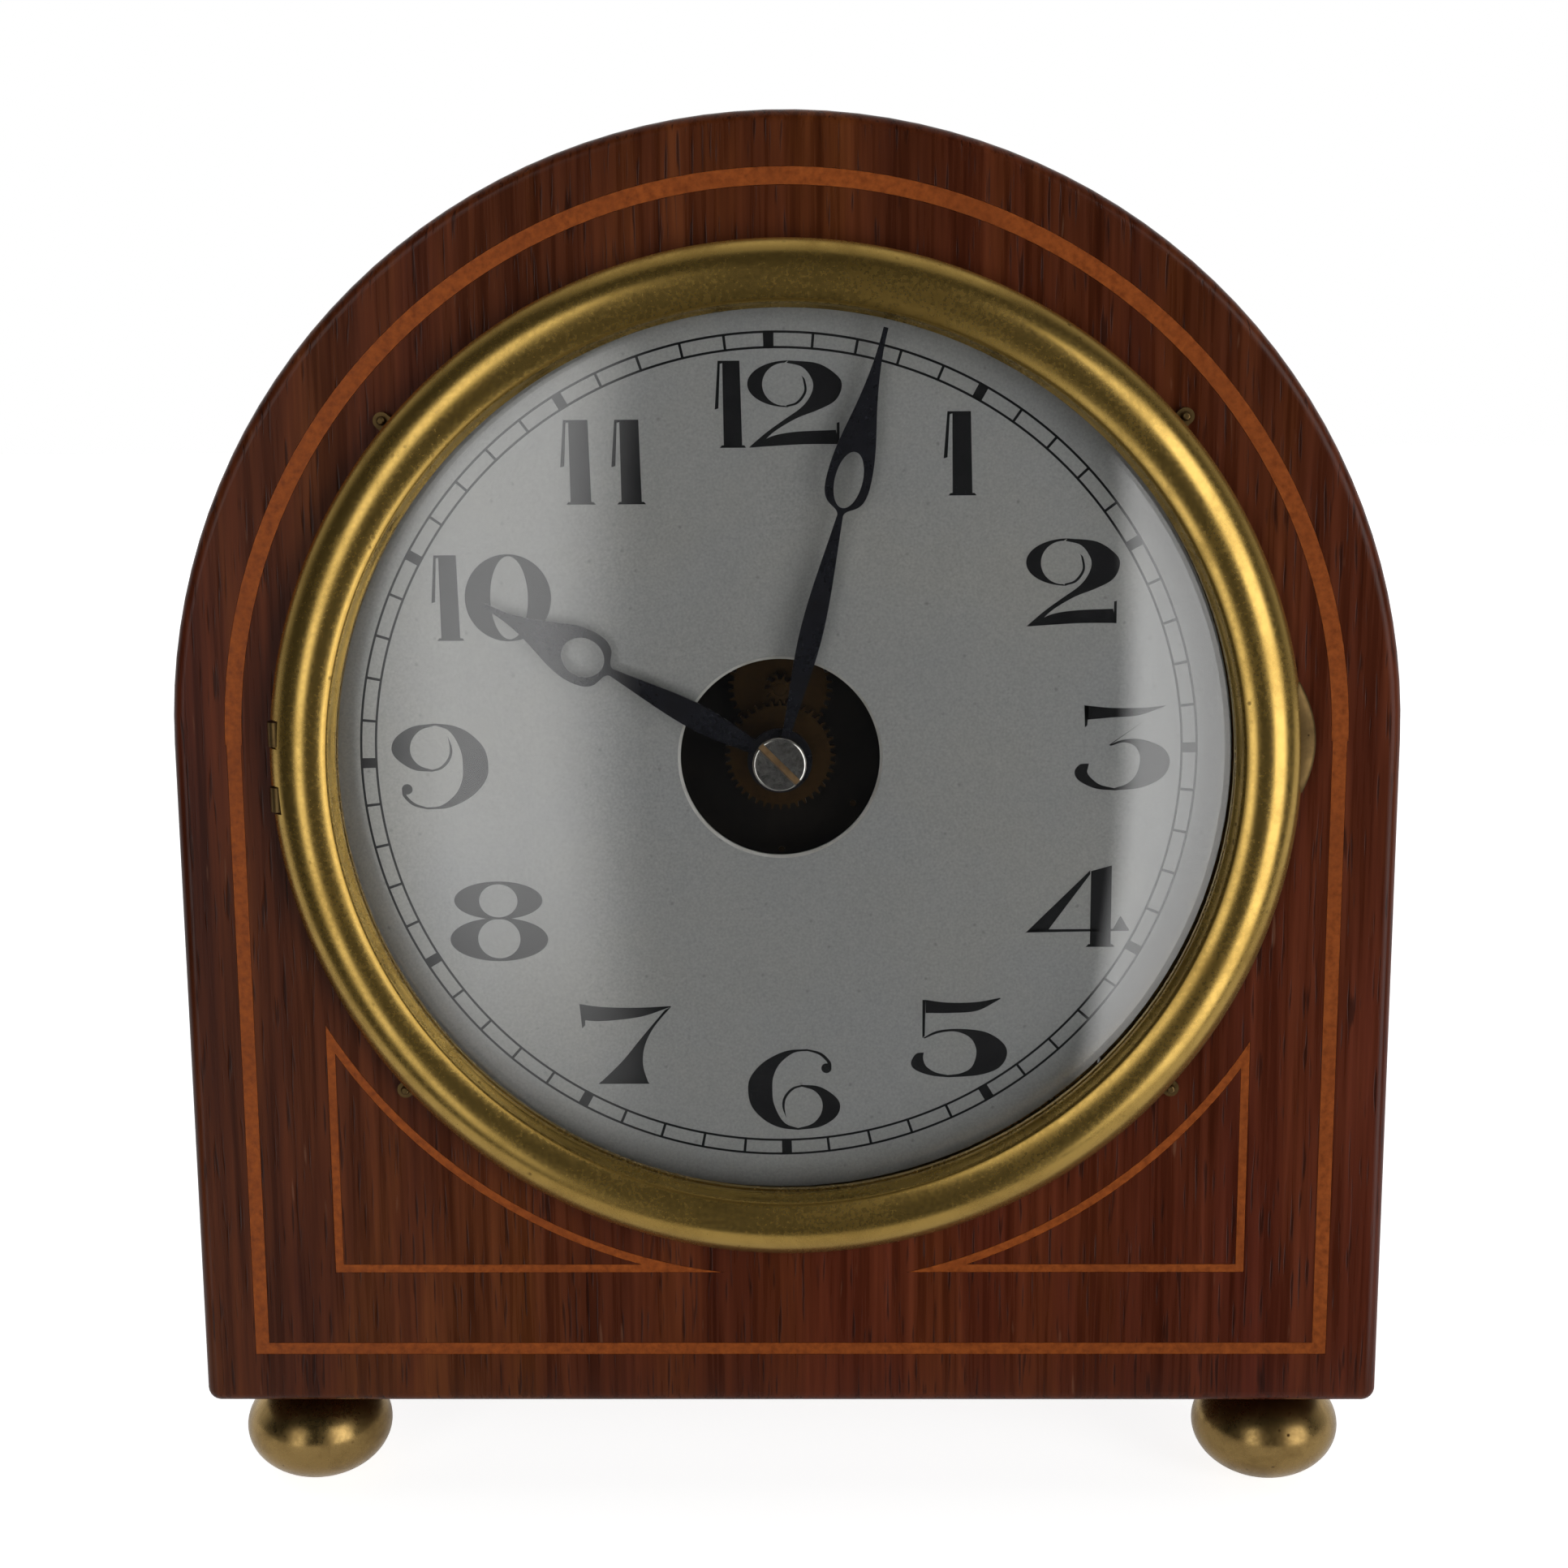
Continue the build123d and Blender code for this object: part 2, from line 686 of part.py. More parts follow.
# Bezel: a half-round roll, a fine bead and a lip over the glass, with a crescent finger tab
with BuildPart() as bezel:
    with BuildSketch(level(bezel_z)):
        with BuildLine():
            under = bezel_point(bezel_outer_radius - bezel_width * roll_under_share, bezel_back)
            side = section_point(roll_side_shares)
            groove = section_point(groove_shares)
            bead_end = section_point(bead_end_shares)
            Line(under, side)
            ThreePointArc(side, section_point((roll_crest_share, 1)), groove)
            ThreePointArc(groove, section_point(bead_top_shares), bead_end)
            Polyline(bead_end, section_point((1, lip_height_share)),
                     bezel_point(bezel_inner_radius, lip_under),
                     bezel_point(skirt_inner_radius, lip_under),
                     bezel_point(skirt_inner_radius, -skirt_reach),
                     bezel_point(skirt_outer_radius, -skirt_reach),
                     bezel_point(skirt_outer_radius, bezel_back), under)
        make_face()
    revolve(axis=Axis((0, 0, bezel_z), (0, 1, 0)))
    tab_height = bezel_height * tab_height_share
    with BuildSketch(facing(tab_thickness / 2 - tab_height)):
        with BuildLine():
            tab_z = bezel_z + tab_rise
            tab_root = sqrt(bezel_outer_radius**2 - (tab_half_length + tab_rise)**2) - tab_proud / 4
            tab_low = (tab_root, tab_z - tab_half_length)
            tab_high = (tab_root, tab_z + tab_half_length)
            ThreePointArc(tab_low, (bezel_outer_radius + tab_proud, tab_z), tab_high)
            Line(tab_high, tab_low)
        make_face()
    extrude(amount=tab_thickness)
    notch_reach = hinge_barrel_radius + side_clearance
    notch_length = hinge_knuckle_length + 2 * side_clearance
    for low in (bezel_z - hinge_middle_length / 2 - notch_length, bezel_z + hinge_middle_length / 2):
        with BuildSketch(level(low)):
            with Locations(bezel_point(hinge_axis_x + notch_reach, hinge_axis_height + notch_reach)):
                Rectangle(2 * notch_reach + hinge_axis_inset, hinge_axis_height + notch_reach + overrun,
                          align=(Align.MAX, Align.MIN))
        extrude(amount=notch_length, mode=Mode.SUBTRACT)
    with BuildSketch(level(bezel_z - hinge_outer_half)):
        with Locations(bezel_point(hinge_axis_x, hinge_axis_height)):
            Circle(hinge_pin_radius + running_clearance)
    extrude(amount=2 * hinge_outer_half, mode=Mode.SUBTRACT)

with BuildPart() as bezel_hinge_pin:
    with BuildSketch(level(bezel_z - hinge_outer_half)):
        with Locations(bezel_point(hinge_axis_x, hinge_axis_height)):
            Circle(hinge_pin_radius)
    extrude(amount=2 * hinge_outer_half)

# Domed glass behind the lip, with a sprung ring that keeps it in the skirt
glass_sphere_radius = (glass_radius**2 + glass_rise**2) / (2 * glass_rise)
glass_half_angle = asin(glass_radius / glass_sphere_radius) / 2
glass_middle_radius = glass_sphere_radius * sin(glass_half_angle)
glass_middle_drop = glass_sphere_radius * (1 - cos(glass_half_angle))
with BuildPart() as dome_glass:
    with BuildSketch(level(bezel_z)):
        with BuildLine():
            outside = ThreePointArc(
                bezel_point(glass_radius, glass_edge_height),
                bezel_point(glass_middle_radius, glass_apex_height - glass_middle_drop),
                bezel_point(0, glass_apex_height))
            inside = ThreePointArc(
                bezel_point(glass_radius, glass_edge_height - glass_thickness),
                bezel_point(glass_middle_radius, glass_apex_height - glass_thickness - glass_middle_drop),
                bezel_point(0, glass_apex_height - glass_thickness))
            Line(outside @ 0, inside @ 0)
            Line(outside @ 1, inside @ 1)
        make_face()
    revolve(axis=Axis((0, 0, bezel_z), (0, 1, 0)))

glass_ring_front = glass_thickness + seat_clearance - glass_edge_height
glass_ring_back = glass_ring_front + glass_ring_height
with BuildPart() as glass_ring:
    add_disc((0, bezel_z), glass_radius, glass_ring_front, glass_ring_back)
    add_disc((0, bezel_z), glass_radius - glass_ring_width, glass_ring_front, glass_ring_back,
             mode=Mode.SUBTRACT)

# Dial plate with a bevelled centre hole, and the four feet riveted to its back
with BuildPart() as dial_plate:
    add_disc(dial_centre, dial_radius, dial_depth, dial_back)
    add_disc(dial_centre, dial_hole_radius, dial_depth, dial_back, mode=Mode.SUBTRACT)
    front_circles = dial_plate.edges().filter_by(GeomType.CIRCLE).group_by(Axis.Y)[0]
    chamfer(front_circles.sort_by(SortBy.RADIUS)[0], dial_hole_bevel)

with BuildPart() as dial_feet:
    add_discs(dial_foot_places, dial_foot_radius, dial_back, plate_front)


def hand_plane(depth, angle):
    """The plane of a hand at a depth, with its Y axis along the hand, turned clockwise from twelve."""
    turn = radians(angle)
    return Plane(origin=(dial_offset_x, front_face_y + depth, dial_z), x_dir=(cos(turn), 0, -sin(turn)),
                 z_dir=(0, -1, 0))


def draw_hand(length, eye_place, eye_half, neck_place, neck_half, leaf_place, leaf_half, hub_radius):
    """Adds a loop hand's outline: a hub, a leaf, a thin neck, a round eye and a long concave point."""
    eye_rise = eye_place - neck_place
    point_length = length - eye_place
    tip = (tip_half_width, length)
    middle = (eye_half * blade_middle_shares[0], eye_place + point_length * blade_middle_shares[1])
    eye_turn = (eye_half * eye_turn_shares[0], neck_place + eye_rise * eye_turn_shares[1])
    neck = (neck_half, neck_place)
    root = (hub_radius * hub_share, 0)
    with BuildLine() as outline:
        Line((0, length), tip)
        Spline(tip, middle, (eye_half, eye_place), eye_turn, neck,
               tangents=((0, -1), (-neck_half, -eye_rise)))
        Spline(neck, (leaf_half, leaf_place), root, tangents=((neck_half, -eye_rise), (0, -1)))
        Polyline(root, (0, 0), (0, length))
    make_face(outline.edges())
    mirror(about=Plane.YZ)
    Circle(hub_radius)


with BuildPart() as minute_hand:
    with BuildSketch(hand_plane(minute_hand_back, minute_hand_angle)):
        draw_hand(minute_hand_length, minute_eye_place, minute_eye_half_width, minute_neck_place,
                  minute_neck_half_width, minute_hand_length * minute_leaf_share, minute_leaf_half_width,
                  minute_hub_radius)
        with Locations((0, minute_eye_place)):
            Ellipse(minute_eye_hole_half_width, minute_eye_hole_half_length, mode=Mode.SUBTRACT)
        Circle(centre_arbor_radius + running_clearance, mode=Mode.SUBTRACT)
    extrude(amount=hand_thickness)

with BuildPart() as hour_hand:
    with BuildSketch(hand_plane(hour_hand_depth + hand_thickness, hour_hand_angle)):
        draw_hand(hour_hand_length, hour_eye_place, hour_eye_half_width, hour_neck_place,
                  hour_neck_half_width, hour_hand_length * hour_leaf_share, hour_leaf_half_width,
                  hour_hub_radius)
        with Locations((0, hour_eye_place)):
            Ellipse(hour_eye_hole_half_width, hour_eye_hole_half_length, mode=Mode.SUBTRACT)
        Circle(cannon_tube_radius + side_clearance, mode=Mode.SUBTRACT)
    extrude(amount=hand_thickness)

# Slotted nut that holds the minute hand
nut_front = minute_hand_depth - nut_thickness
with BuildPart() as hand_nut:
    add_disc(dial_centre, nut_radius, nut_front, minute_hand_depth)
    fillet(hand_nut.edges().group_by(Axis.Y)[0], nut_thickness / 4)
    with BuildSketch(hand_plane(nut_front + nut_slot_depth, -nut_slot_angle)):
        Rectangle(nut_slot_width, 2 * nut_radius + overrun)
    extrude(amount=nut_slot_depth, mode=Mode.SUBTRACT)
    add_disc(dial_centre, centre_arbor_radius + running_clearance, nut_front + nut_slot_depth,
             minute_hand_depth, mode=Mode.SUBTRACT)

# Bars across the back of the front panel, their screws, and the plates and pillars that they carry
with BuildPart() as mounting_bars:
    with BuildSketch(facing(plate_front)):
        for z in bar_heights:
            with Locations((0, z)):
                Rectangle(2 * bar_half_length, bar_height)
    extrude(amount=bar_thickness)
    add_discs(bar_screw_places, screw_radius + running_clearance, front_panel_thickness, plate_front,
              mode=Mode.SUBTRACT)

with BuildPart() as bar_screws:
    add_discs(bar_screw_places, screw_radius, front_panel_thickness - screw_bite, plate_front)
    add_discs(bar_screw_places, screw_head_radius, plate_front, plate_front + screw_head_height)
    fillet(bar_screws.edges().group_by(Axis.Y)[-1], screw_head_height / 2)


def add_plate(front):
    """Adds a movement plate with rounded corners whose front face lies at a depth."""
    with BuildSketch(facing(front + plate_thickness)) as section:
        with Locations((dial_offset_x, dial_z + (plate_up - plate_down) / 2)):
            RectangleRounded(2 * plate_half_width, plate_up + plate_down, plate_rounding)
    extrude(section.sketch, amount=plate_thickness)


def cut_pivots(front, radius, centres):
    """Cuts pivot holes through a movement plate."""
    add_discs(centres, radius + running_clearance, front, front + plate_thickness, mode=Mode.SUBTRACT)


with BuildPart() as front_plate:
    add_plate(plate_front)
    cut_pivots(plate_front, pivot_radius, [third_centre, ratchet_centre])
    cut_pivots(plate_front, centre_arbor_radius, [dial_centre])
    cut_pivots(plate_front, post_radius, [(dial_offset_x, motion_post_z)])

with BuildPart() as rear_plate:
    add_plate(rear_plate_front)
    cut_pivots(rear_plate_front, pivot_radius, [third_centre])
    cut_pivots(rear_plate_front, arbor_radius, [ratchet_centre])
    cut_pivots(rear_plate_front, centre_arbor_radius, [dial_centre])
    cut_pivots(rear_plate_front, pendulum_post_radius, [suspension_centre])
    cut_pivots(rear_plate_front, pillar_screw_radius, pillar_places)

with BuildPart() as pillars:
    add_discs(pillar_places, pillar_radius, plate_back, rear_plate_front)
    add_discs(pillar_places, pillar_screw_radius + running_clearance,
              rear_plate_front - pillar_screw_bite - seat_clearance, rear_plate_front, mode=Mode.SUBTRACT)

with BuildPart() as pillar_screws:
    add_discs(pillar_places, pillar_screw_radius, rear_plate_front - pillar_screw_bite, rear_plate_back)
    add_discs(pillar_places, screw_head_radius, rear_plate_back, rear_plate_back + screw_head_height)
    fillet(pillar_screws.edges().group_by(Axis.Y)[-1], screw_head_height / 2)

# Centre arbor with its wheel, and the motion work seen through the dial
with BuildPart() as centre_arbor:
    add_disc(dial_centre, centre_arbor_radius, nut_front + nut_slot_depth, rear_plate_back)

third_angle = -degrees(asin(third_drop / third_distance))
ratchet_angle = 180 + degrees(asin((ratchet_drop - third_drop) / ratchet_distance))
with BuildPart() as centre_wheel:
    add_gear(centre_teeth, train_module, dial_centre, third_angle, centre_wheel_depth, wheel_thickness)
    add_disc(dial_centre, centre_arbor_radius + running_clearance, centre_wheel_depth,
             centre_wheel_depth + wheel_thickness, mode=Mode.SUBTRACT)

cannon_depth = minute_wheel_depth + (wheel_thickness - motion_pinion_length) / 2
with BuildPart() as cannon_pinion:
    add_gear(cannon_teeth, cannon_module, dial_centre, 90, cannon_depth, motion_pinion_length)
    add_disc(dial_centre, cannon_tube_radius, minute_hand_back, cannon_depth)
    add_disc(dial_centre, centre_arbor_radius + running_clearance, minute_hand_back,
             cannon_depth + motion_pinion_length, mode=Mode.SUBTRACT)

hour_pipe_bore = cannon_tube_radius + running_clearance
hour_pipe_front = hour_hand_depth + hand_thickness
with BuildPart() as hour_wheel:
    add_gear(hour_wheel_teeth, hour_module, dial_centre, 90, hour_wheel_depth, wheel_thickness)
    add_disc(dial_centre, hour_pipe_bore + hour_pipe_wall, hour_pipe_front, hour_wheel_depth)
    add_disc(dial_centre, hour_pipe_bore, hour_pipe_front, hour_wheel_depth + wheel_thickness,
             mode=Mode.SUBTRACT)

minute_post_place = (dial_offset_x, motion_post_z)
minute_pinion_depth = hour_wheel_depth + (wheel_thickness - motion_pinion_length) / 2
minute_wheel_back = minute_wheel_depth + wheel_thickness
with BuildPart() as minute_wheel:
    add_gear(minute_wheel_teeth, cannon_module, minute_post_place, -90 + 180 / minute_wheel_teeth,
             minute_wheel_depth, wheel_thickness)
    add_gear(minute_pinion_teeth, hour_module, minute_post_place, -90 + 180 / minute_pinion_teeth,
             minute_pinion_depth, minute_wheel_depth - minute_pinion_depth)
    add_disc(minute_post_place, post_radius + running_clearance, minute_pinion_depth, minute_wheel_back,
             mode=Mode.SUBTRACT)

with BuildPart() as minute_post:
    add_disc(minute_post_place, post_radius, minute_pinion_depth, plate_back)
    add_disc(minute_post_place, 2 * post_radius, minute_wheel_back + side_clearance, plate_front)

# Third arbor and ratchet arbor, each with its pinion and wheel
with BuildPart() as third_wheel:
    add_disc(third_centre, pivot_radius, plate_front, rear_plate_back)
    add_disc(third_centre, arbor_radius, plate_back + side_clearance, rear_plate_front - side_clearance)
    add_gear(third_pinion_teeth, train_module, third_centre, third_angle + 180 + 180 / third_pinion_teeth,
             centre_wheel_depth + (wheel_thickness - pinion_length) / 2, pinion_length)
    add_gear(third_teeth, train_module, third_centre, ratchet_angle, third_wheel_depth, wheel_thickness)

with BuildPart() as ratchet_wheel:
    add_disc(ratchet_centre, pivot_radius, plate_front, rear_plate_front)
    add_disc(ratchet_centre, arbor_radius, plate_back + side_clearance, ratchet_front)
    add_gear(ratchet_pinion_teeth, train_module, ratchet_centre,
             ratchet_angle + 180 + 180 / ratchet_pinion_teeth,
             third_wheel_depth + (wheel_thickness - pinion_length) / 2, pinion_length)
    with BuildSketch(facing(ratchet_front + wheel_thickness)):
        ratchet_points = []
        for tooth in range(ratchet_teeth):
            angle = tooth * 360 / ratchet_teeth
            ratchet_points.append(polar(ratchet_radius, angle, ratchet_centre))
            ratchet_points.append(polar(ratchet_radius - ratchet_tooth_height, angle, ratchet_centre))
        draw_polygon(ratchet_points)
    extrude(amount=wheel_thickness)

# Pendulum: a hanger on a post, a spring strip, a rod with a stud and a threaded end, and a clamped magnet
hanger_front = pendulum_depth - hanger_depth / 2
hanger_back = pendulum_depth + hanger_depth / 2
with BuildPart() as suspension_post:
    add_disc(suspension_centre, pendulum_post_radius, rear_plate_front, hanger_back + side_clearance)
    add_disc(suspension_centre, pendulum_post_shoulder, rear_plate_back, hanger_front - side_clearance)
    add_disc(suspension_centre, pendulum_post_head, hanger_back + side_clearance,
             hanger_back + side_clearance + pendulum_post_head_length)

with BuildPart() as suspension_hanger:
    with BuildSketch(facing(hanger_back)):
        with Locations(suspension_centre):
            Rectangle(hanger_width, hanger_height)
            Circle(pendulum_post_radius + running_clearance, mode=Mode.SUBTRACT)
    extrude(amount=hanger_depth)

spring_top = suspension_z - hanger_height / 2
rod_top = spring_top - spring_length
with BuildPart() as suspension_spring:
    with BuildSketch(level(rod_top)):
        with Locations((dial_offset_x, front_face_y + pendulum_depth)):
            Rectangle(spring_thickness, hanger_depth)
    extrude(amount=spring_length)

clamp_bottom = suspension_z - magnet_radius - clamp_height / 2
rating_nut_bottom = clamp_bottom - seat_clearance - rating_nut_height
rod_bottom = clamp_bottom + clamp_height + rod_clamp_gap
thread_bottom = rating_nut_bottom - rod_thread_tail
rod_front = pendulum_depth - rod_thickness / 2
rod_back = pendulum_depth + rod_thickness / 2
pawl_centre = (dial_offset_x, suspension_z - pawl_drop)
pawl_front = ratchet_front + (wheel_thickness - pawl_thickness) / 2
pawl_back = pawl_front + pawl_thickness
stud_head_back = pawl_front - side_clearance
stud_front = stud_head_back - pawl_thickness / 2
with BuildPart() as pendulum_rod:
    with BuildSketch(facing(rod_back)):
        with Locations((dial_offset_x, rod_top)):
            Rectangle(rod_width, rod_top - rod_bottom, align=(Align.CENTER, Align.MAX))
    extrude(amount=rod_thickness)
    with BuildSketch(level(thread_bottom)):
        with Locations((dial_offset_x, front_face_y + pendulum_depth)):
            Circle(rod_thread_radius)
    extrude(amount=rod_bottom - thread_bottom)
    add_disc(pawl_centre, pawl_stud_radius, stud_front, rod_back)
    add_disc(pawl_centre, 2 * pawl_stud_radius, stud_front, stud_head_back)
    add_disc(pawl_centre, 2 * pawl_stud_radius, pawl_back + side_clearance, rod_front)

# Light pawl that hangs on the rod's stud over the ratchet wheel
pawl_tip_z = ratchet_z + sqrt((ratchet_radius + pawl_tip_gap) ** 2 - pawl_tip_x**2)
with BuildPart() as drive_pawl:
    with BuildSketch(facing(pawl_back)):
        draw_polygon([(dial_offset_x - pawl_arm_width / 2, pawl_centre[1]),
                      (dial_offset_x + pawl_arm_width / 2, pawl_centre[1]),
                      (dial_offset_x + pawl_tip_x, pawl_tip_z)])
        with Locations(pawl_centre):
            Circle(pawl_hub_radius)
            Circle(pawl_stud_radius + running_clearance, mode=Mode.SUBTRACT)
    extrude(amount=pawl_thickness)


def swing_plane(angle, along=0):
    """A plane square to the magnet's path, at an angle from straight down, with X to the back."""
    turn = radians(angle)
    origin = (dial_offset_x + along * cos(turn), front_face_y, suspension_z + along * sin(turn))
    return Plane(origin=origin, x_dir=(0, 1, 0), z_dir=(cos(turn), 0, sin(turn)))


swing_axis = Axis((dial_offset_x, 0, suspension_z), (0, -1, 0))
with BuildPart() as pendulum_magnet:
    with BuildSketch(swing_plane(-magnet_half_angle)):
        with Locations((magnet_depth, -magnet_radius)):
            Circle(magnet_bar_radius)
    revolve(axis=swing_axis, revolution_arc=2 * magnet_half_angle)

clamp_front = magnet_depth - magnet_bar_radius - clamp_wall
clamp_back = pendulum_depth + rod_thread_radius + clamp_wall
with BuildPart() as magnet_clamp:
    with BuildSketch(facing(clamp_back)):
        with Locations((dial_offset_x, clamp_bottom)):
            Rectangle(clamp_width, clamp_height, align=(Align.CENTER, Align.MIN))
    extrude(amount=clamp_back - clamp_front)
    with BuildSketch(swing_plane(-magnet_half_angle)):
        with Locations((magnet_depth, -magnet_radius)):
            Circle(magnet_bar_radius + running_clearance)
    revolve(axis=swing_axis, revolution_arc=2 * magnet_half_angle, mode=Mode.SUBTRACT)
    with BuildSketch(level(clamp_bottom)):
        with Locations((dial_offset_x, front_face_y + pendulum_depth)):
            Circle(rod_thread_radius + running_clearance)
    extrude(amount=clamp_height, mode=Mode.SUBTRACT)

with BuildPart() as rating_nut:
    with BuildSketch(level(rating_nut_bottom)):
        with Locations((dial_offset_x, front_face_y + pendulum_depth)):
            Circle(rating_nut_radius)
    extrude(amount=rating_nut_height)
    fillet(rating_nut.edges(), rating_nut_height / 5)
    with BuildSketch(level(rating_nut_bottom)):
        with Locations((dial_offset_x, front_face_y + pendulum_depth)):
            Circle(rod_thread_radius + running_clearance)
    extrude(amount=rating_nut_height, mode=Mode.SUBTRACT)

# Contact beside the rod: an insulating block on the rear plate with a thin strip on top
contact_x = dial_offset_x + contact_place_x
contact_z = dial_z - contact_drop
contact_back = pendulum_depth + contact_strip_height / 2
with BuildPart() as contact_block:
    with BuildSketch(facing(contact_back)):
        with Locations((contact_x, contact_z)):
            Rectangle(contact_block_width, contact_block_height, align=(Align.CENTER, Align.MAX))
    extrude(amount=contact_back - rear_plate_back)

with BuildPart() as contact_strip:
    with BuildSketch(facing(contact_back)):
        with Locations((contact_x + contact_block_width / 2, contact_z)):
            Rectangle(contact_place_x + contact_block_width / 2 - contact_gap, contact_strip_thickness,
                      align=(Align.MAX, Align.MIN))
    extrude(amount=contact_strip_height)

# Coil on its bobbin, beside the magnet's path, carried by a bracket on the base board
coil_x = dial_offset_x + magnet_radius * sin(radians(coil_angle))
coil_z = suspension_z - magnet_radius * cos(radians(coil_angle))
coil_start = -coil_length / 2
coil_tube_radius = coil_bore_radius + coil_tube_wall
with BuildPart() as coil_bobbin:
    for start in (coil_start, -coil_start - coil_flange_thickness):
        with BuildSketch(swing_plane(coil_angle, start)):
            with Locations((magnet_depth, -magnet_radius)):
                Rectangle(2 * coil_flange_half, 2 * coil_flange_half)
        extrude(amount=coil_flange_thickness)
    with BuildSketch(swing_plane(coil_angle, coil_start)):
        with Locations((magnet_depth, -magnet_radius)):
            Circle(coil_tube_radius)
    extrude(amount=coil_length)
    with BuildSketch(swing_plane(coil_angle, coil_start)):
        with Locations((magnet_depth, -magnet_radius)):
            Circle(coil_bore_radius)
    extrude(amount=coil_length, mode=Mode.SUBTRACT)

with BuildPart() as coil_winding:
    with BuildSketch(swing_plane(coil_angle, coil_start + coil_flange_thickness)):
        with Locations((magnet_depth, -magnet_radius)):
            Circle(coil_winding_radius)
            Circle(coil_tube_radius + running_clearance, mode=Mode.SUBTRACT)
    extrude(amount=coil_length - 2 * coil_flange_thickness)

bracket_front = magnet_depth + coil_flange_half
bracket_back = bracket_front + coil_bracket_thickness
with BuildPart() as coil_bracket:
    with BuildSketch(facing(bracket_back)):
        with Locations((coil_x, base_top)):
            Rectangle(2 * coil_bracket_half_width, coil_z - base_top + coil_flange_half / 2,
                      align=(Align.CENTER, Align.MIN))
    extrude(amount=coil_bracket_thickness)
    with BuildSketch(level(base_top)):
        with Locations((coil_x, front_face_y + bracket_back)):
            Rectangle(2 * coil_bracket_half_width, coil_bracket_thickness + coil_bracket_foot,
                      align=(Align.CENTER, Align.MAX))
    extrude(amount=coil_bracket_thickness)

# Dry cell standing on its lower terminal, with the upper terminal bent over its cap
cell_bottom = base_top + terminal_thickness
cell_y = front_face_y + cell_place_depth
with BuildPart() as battery_cell:
    with BuildSketch(level(cell_bottom)):
        with Locations((cell_place_x, cell_y)):
            Circle(cell_radius)
    extrude(amount=cell_height)
    fillet(battery_cell.edges(), cell_cap_height / 2)
    with BuildSketch(level(cell_bottom + cell_height)):
        with Locations((cell_place_x, cell_y)):
            Circle(cell_cap_radius)
    extrude(amount=cell_cap_height)

cap_top = cell_bottom + cell_height + cell_cap_height
wall_x = -inner_half_width
terminal_tail_x = cell_place_x + cell_radius + terminal_width
with BuildPart() as battery_terminals:
    with BuildSketch(level(base_top)):
        with Locations((terminal_tail_x, cell_y)):
            Rectangle(terminal_tail_x - cell_place_x + cell_cap_radius, terminal_width,
                      align=(Align.MAX, Align.CENTER))
    extrude(amount=terminal_thickness)
    with BuildSketch(level(cap_top)):
        with Locations((wall_x, cell_y)):
            Rectangle(cell_place_x + cell_cap_radius - wall_x, terminal_width,
                      align=(Align.MIN, Align.CENTER))
    extrude(amount=terminal_thickness)
    with BuildSketch(level(cap_top)):
        with Locations((wall_x, cell_y)):
            Rectangle(terminal_thickness, terminal_width, align=(Align.MIN, Align.CENTER))
    extrude(amount=terminal_rise)

# Stiff bell-wire leads: cell to coil, coil to contact and cell to rear plate
lead_front = magnet_depth - coil_flange_half / 2 - lead_bend / 2
lead_floor = base_top + lead_radius + lead_lift
flange_left = polar(coil_start, coil_angle, (coil_x, coil_z))
low_tag = polar(-coil_flange_half / 2, coil_angle + 90, flange_left)
high_tag = polar(coil_flange_half / 2, coil_angle + 90, flange_left)
lead_step = coil_flange_half
lead_out = polar(lead_step, coil_angle)


def place(x, depth, z):
    """A point by its X, its depth behind the case's front face and its height."""
    return (x, front_face_y + depth, z)


lead_routes = [
    [place(terminal_tail_x, cell_place_depth, lead_floor),
     place(terminal_tail_x + lead_step, cell_place_depth, lead_floor),
     place(low_tag[0] - 2 * lead_step, lead_front, lead_floor),
     place(low_tag[0] - lead_out[0], lead_front, low_tag[1] - lead_out[1]),
     place(low_tag[0], lead_front, low_tag[1])],
    [place(high_tag[0], lead_front, high_tag[1]),
     place(high_tag[0] - lead_out[0], lead_front, high_tag[1] - lead_out[1]),
     place(contact_x, pendulum_depth - contact_strip_height, high_tag[1] + lead_step),
     place(contact_x, pendulum_depth - contact_strip_height, contact_z - contact_block_height)],
    [place(wall_x + terminal_thickness, cell_place_depth, cap_top + terminal_rise / 2),
     place(cell_place_x, cell_place_depth, cap_top + terminal_rise / 2),
     place(dial_offset_x - pillar_x, rear_plate_back + lead_step, contact_z),
     place(dial_offset_x - pillar_x, rear_plate_back, contact_z)],
]
with BuildPart() as lead_wires:
    for route in lead_routes:
        with BuildLine() as path:
            FilletPolyline(*route, radius=lead_bend)
        with BuildSketch(Plane(origin=path.line @ 0, z_dir=path.line % 0)):
            Circle(lead_radius)
        sweep(path=path.line)

# Back door with its knob, hinges and turn button
with BuildPart() as back_door:
    with BuildSketch(facing(case_depth)):
        draw_arch(door_half_width - door_gap, door_bottom + door_gap, door_spring_height)
    extrude(amount=back_board_thickness)

with BuildPart() as door_knob:
    knob_head_front = case_depth + door_knob_length / 2
    add_disc(door_knob_place, door_knob_neck_radius, case_depth, knob_head_front)
    add_disc(door_knob_place, door_knob_radius, knob_head_front, case_depth + door_knob_length)
    fillet(door_knob.edges().filter_by(GeomType.CIRCLE).group_by(SortBy.RADIUS)[-1], door_knob_length / 5)

door_knuckle_height = (door_leaf_height - door_middle_height) / 2 - side_clearance
door_leaf_start = door_barrel_radius + side_clearance
frame_knuckles = [z + side * (door_leaf_height - door_knuckle_height) / 2
                  for z in door_hinge_heights for side in (-1, 1)]


